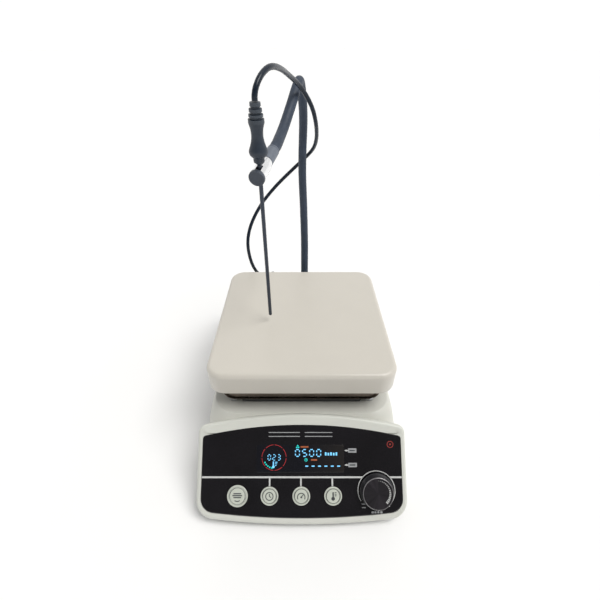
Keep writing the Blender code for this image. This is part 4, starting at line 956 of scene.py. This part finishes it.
settle(make("knob_face", bm, M["knob_face"], at, PANEL_TURN, 50), "dial", "knob_black")
bm = bmesh.new()
for k in range(16):                                  # blocks that widen clockwise from the top
    a = 88 - k * 8.6
    f = k / 15
    r0, r1 = 11.5 - 1.7 * f, 11.75 + 0.35 * f
    wide = 2.6 + 2.9 * f
    pts = arc(r1, a, a - wide, (0, 0), 3) + arc(r0, a - wide, a, (0, 0), 3)
    prism(bm, pts[::-1], top - 0.54, top - 0.40, 0)
settle(make("knob_scale", bm, M["ink_white"], at, PANEL_TURN, smooth=False), "dial", "keys")

# ------------------------------------------------------------------ arm
gooseneck = smooth_route(ARM_ROUTE, 2.4)
bm = bmesh.new()
sweep(bm, gooseneck, ARM_R, 36)
settle(make("arm_sheath", bm, M["sheath"], sharp=60), "arm", "sheath", "gooseneck")
clamp_turn = along(CLAMP_DIR)
bm = bmesh.new()
flat = SLEEVE_R - 0.4
turned(bm, [(0, SLEEVE_FROM), (flat, SLEEVE_FROM)] +
       fillet(0.4, -90, 0, (flat, SLEEVE_FROM + 0.4)) +
       [(SLEEVE_R, SLEEVE_TO - 2.2), (SLEEVE_R - 0.15, SLEEVE_TO - 2.0),
        (SLEEVE_R - 0.15, SLEEVE_TO - 1.6), (SLEEVE_R, SLEEVE_TO - 1.4)] +
       fillet(0.4, 0, 90, (flat, SLEEVE_TO - 0.4)) + [(0, SLEEVE_TO)], 48)
settle(make("arm_sleeve", bm, M["sleeve"], CLAMP_FACE, clamp_turn), "arm", "sheath",
       "gooseneck_sleeve")
bm = bmesh.new()
turned(bm, [(0, 1.5), (4.7, 1.5), (5.0, 1.8), (5.0, 3.5), (5.9, 3.5), (6.2, 3.8), (6.2, 17.6),
            (6.14, 18.2), (6.0, 18.9), (5.5, 23.6), (5.38, 24.3), (5.1, 24.6), (0, 24.6)], 72)
clamp = make("clamp_head", bm, M["chrome"], CLAMP_FACE, clamp_turn, 30)
rod_dir = (ROD_HEAD - ROD_TIP).normalized()
side = rod_dir.cross(CLAMP_DIR).normalized()
slot_turn = Matrix((side, rod_dir, side.cross(rod_dir))).transposed()
slot_at = ROD_TIP + rod_dir * (CLAMP_FACE + CLAMP_DIR * CLAMP_GRIP - ROD_TIP).dot(rod_dir)
bm = bmesh.new()
box(bm, -ROD_R - 0.6, ROD_R + 0.6, -14, 14, -14, ROD_R + 0.4)
settle(carve(clamp, [make("tool_slot", bm, (), slot_at, slot_turn)], 30), "arm", "chrome",
       "clamp_body")
bm = bmesh.new()
FLUTES, FLUTE_DEEP, THUMB_R = 36, 0.16, 6.7
turned(bm, [(0, 0.3), (3.6, 0.18), (5.2, 0.0), (6.2, 0.0)] +
       fillet(0.5, -90, 0, (THUMB_R - 0.5, 0.5), 5) +
       [(THUMB_R, 2.8), (6.45, 3.2), (5.4, 3.2), (5.4, 1.1), (0, 1.1)], 2 * FLUTES)
for v in bm.verts:                                           # every other row of the rim sinks
    r = math.hypot(v.co.x, v.co.y)
    if r > THUMB_R - 0.08 and round(math.atan2(v.co.y, v.co.x) * FLUTES / math.pi) % 2:
        v.co.x *= 1 - FLUTE_DEEP / r
        v.co.y *= 1 - FLUTE_DEEP / r
settle(make("clamp_thumb_knob", bm, M["clamp"], CLAMP_FACE, clamp_turn, 50), "clamp_screw",
       "clamp_black", "clamp_knob")

NUT = [(ARM_HOLE_R, 0), (11.2, 0), (11.5, 0.3), (11.5, 1.8), (11.2, 2.2), (9.3, 2.4), (9.0, 2.8),
       (8.7, 3.2), (8.6, 10.4), (8.4, 11.4), (8.0, 12.1), (7.4, 12.45), (5.8, 12.5),
       (ARM_HOLE_R, 12.1)]
nut_foot = mm_box("arm_nut")[0].z
bm = bmesh.new()
turned(bm, [(r, nut_foot + z) for r, z in NUT], 64)
settle(make("arm_collar", bm, M["chrome"], ARM_FOOT, None, 30), "base", "chrome", "arm_nut")

# ------------------------------------------------------------------ probe
rod_turn = along(rod_dir)
stretch = (ROD_HEAD - ROD_TIP).length / (ROD_HEAD.z - ROD_TIP.z)
# outline of the grip: height of a level rod, and radius
GRIP = [(298.7, 1.8), (299.1, 2.1), (300.5, 3.9), (301.0, 4.1), (304.0, 4.2), (305.0, 5.4),
        (306.6, 6.6), (308.6, 6.95), (310.6, 6.5), (312.8, 5.7), (317.0, 4.6), (320.8, 4.3),
        (324.5, 4.6), (327.0, 5.2), (328.9, 5.7), (331.2, 5.7), (331.5, 4.3), (332.5, 4.2),
        (332.8, 5.1), (334.4, 5.1), (334.7, 3.7), (335.6, 3.6), (335.9, 4.55), (338.0, 4.5),
        (338.3, 3.3), (339.3, 3.2), (339.6, 3.85), (342.0, 3.75)]


def up_rod(z):
    return (z - ROD_TIP.z) * stretch


def slope(p, q, r):
    """Slope of the outline at q, flat where it turns round."""
    return 0 if (q[1] - p[1]) * (r[1] - q[1]) <= 0 else (r[1] - p[1]) / (r[0] - p[0])


def hermite(a, b, c, d, t):
    """Smooth outline point between b and c, a fraction t of the way."""
    h = c[0] - b[0]
    m0, m1 = slope(a, b, c) * h, slope(b, c, d) * h
    r = (2 * t ** 3 - 3 * t ** 2 + 1) * b[1] + (t ** 3 - 2 * t ** 2 + t) * m0 + \
        (-2 * t ** 3 + 3 * t ** 2) * c[1] + (t ** 3 - t ** 2) * m1
    return b[0] + h * t, r


FIRST, LAST = 4, 14                                          # the bulb; collars above and below
bulb = []
for i in range(FIRST, LAST):
    a, d = GRIP[max(i - 1, FIRST)], GRIP[min(i + 2, LAST)]
    bulb += [hermite(a, GRIP[i], GRIP[i + 1], d, k / 5) for k in range(5)]
outline = GRIP[:FIRST] + bulb + GRIP[LAST:]
bm = bmesh.new()
turned(bm, [(0, up_rod(GRIP[0][0]))] + [(r * GRIP_SCALE, up_rod(z)) for z, r in outline] +
       [(0, up_rod(GRIP[-1][0]))], 48)
settle(make("probe_grip", bm, M["grip"], ROD_TIP, rod_turn, 40), "probe", "probe_grip",
       "probe_handle")
grip_low = up_rod(GRIP[0][0]) - GAP
bm = bmesh.new()
turned(bm, [(0, 0)] + fillet(ROD_R, -90, 0, (0, ROD_R), 7)[1:] +
       [(ROD_R, grip_low * 0.5), (ROD_R, grip_low), (0, grip_low)], 28)
settle(make("probe_stem", bm, M["probe"], ROD_TIP, rod_turn, 50), "probe", "probe_rod", "probe_rod")

# ------------------------------------------------------------------ CAD nodes that stay
KEEP = {
    "zinc": ("base_plate", "motor", "motor_bracket", "motor_shaft", "encoder_body",
             "encoder_shaft"),
    "heater": ("heating_element",), "fibre": ("insulation_pad",), "holder": ("magnet_holder",),
    "magnet": ("magnet_north", "magnet_south"), "board": ("power_board", "control_board"),
    "fitting": ("insulating_frame", "display_module", "switch_program", "switch_time",
                # painted shade: the black insulating_frame under the heat shield stands in for the
                # shade in the gap between the shield and the deck
                "switch_speed", "switch_temp", "encoder_plunger", "mains_inlet",
                "power_switch_body", "power_rocker", "fuse_holder"),
    "chrome": ("probe_socket",)}
for tone, nodes in KEEP.items():
    for name in nodes:
        for material_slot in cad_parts[name].material_slots:
            material_slot.material = M[tone]

# ------------------------------------------------------------------ floor and light
FLOOR_Z, FLOOR_MID = -0.02, 20
bm = bmesh.new()
loft(bm, [level(circle(r, 96), FLOOR_Z) for r in (22000, 2000, 600, 150, FLOOR_MID)], caps=False)
bm.faces.new([bm.verts.new(p) for p in level(circle(FLOOR_MID, 96), FLOOR_Z)])
floor = make("floor", bm, surface("floor_paint", (0.93, 0.93, 0.93), 0.85, vary=0.01, patch=3,
                                  grain=60, bump=0.02), smooth=False)

world = bpy.data.worlds.new("studio")
scene.world = world
world.use_nodes = True
tree = world.node_tree
back = tree.nodes["Background"]
axes = add(tree, "SeparateXYZ")
tree.links.new(add(tree, "TexCoord").outputs["Generated"], axes.inputs["Vector"])
# a white band at the horizon, and above it a sky that brightens from front to back
front_to_back = spread(tree, axes.outputs["Y"], 0.13, 0.85, -0.75, 0.65)
near_horizon = spread(tree, axes.outputs["Z"], 1, 0, 0.08, 0.24)
strength = add(tree, "Mix")
strength.inputs[3].default_value = 1.03                      # of the band
tree.links.new(near_horizon, strength.inputs[0])
tree.links.new(front_to_back, strength.inputs[2])
tree.links.new(strength.outputs[0], back.inputs["Strength"])
back.inputs["Color"].default_value = (1.0, 0.995, 0.985, 1)

# one broad soft light from above
sun = bpy.data.lights.new("key", "SUN")
sun.energy = 2.15
sun.angle = math.radians(34)
sun.color = (1.0, 0.99, 0.97)
lamp = bpy.data.objects.new("key", sun)
lamp.rotation_euler = (math.radians(9), math.radians(27), 0)
scene.collection.objects.link(lamp)
scene.view_settings.view_transform = "Standard"
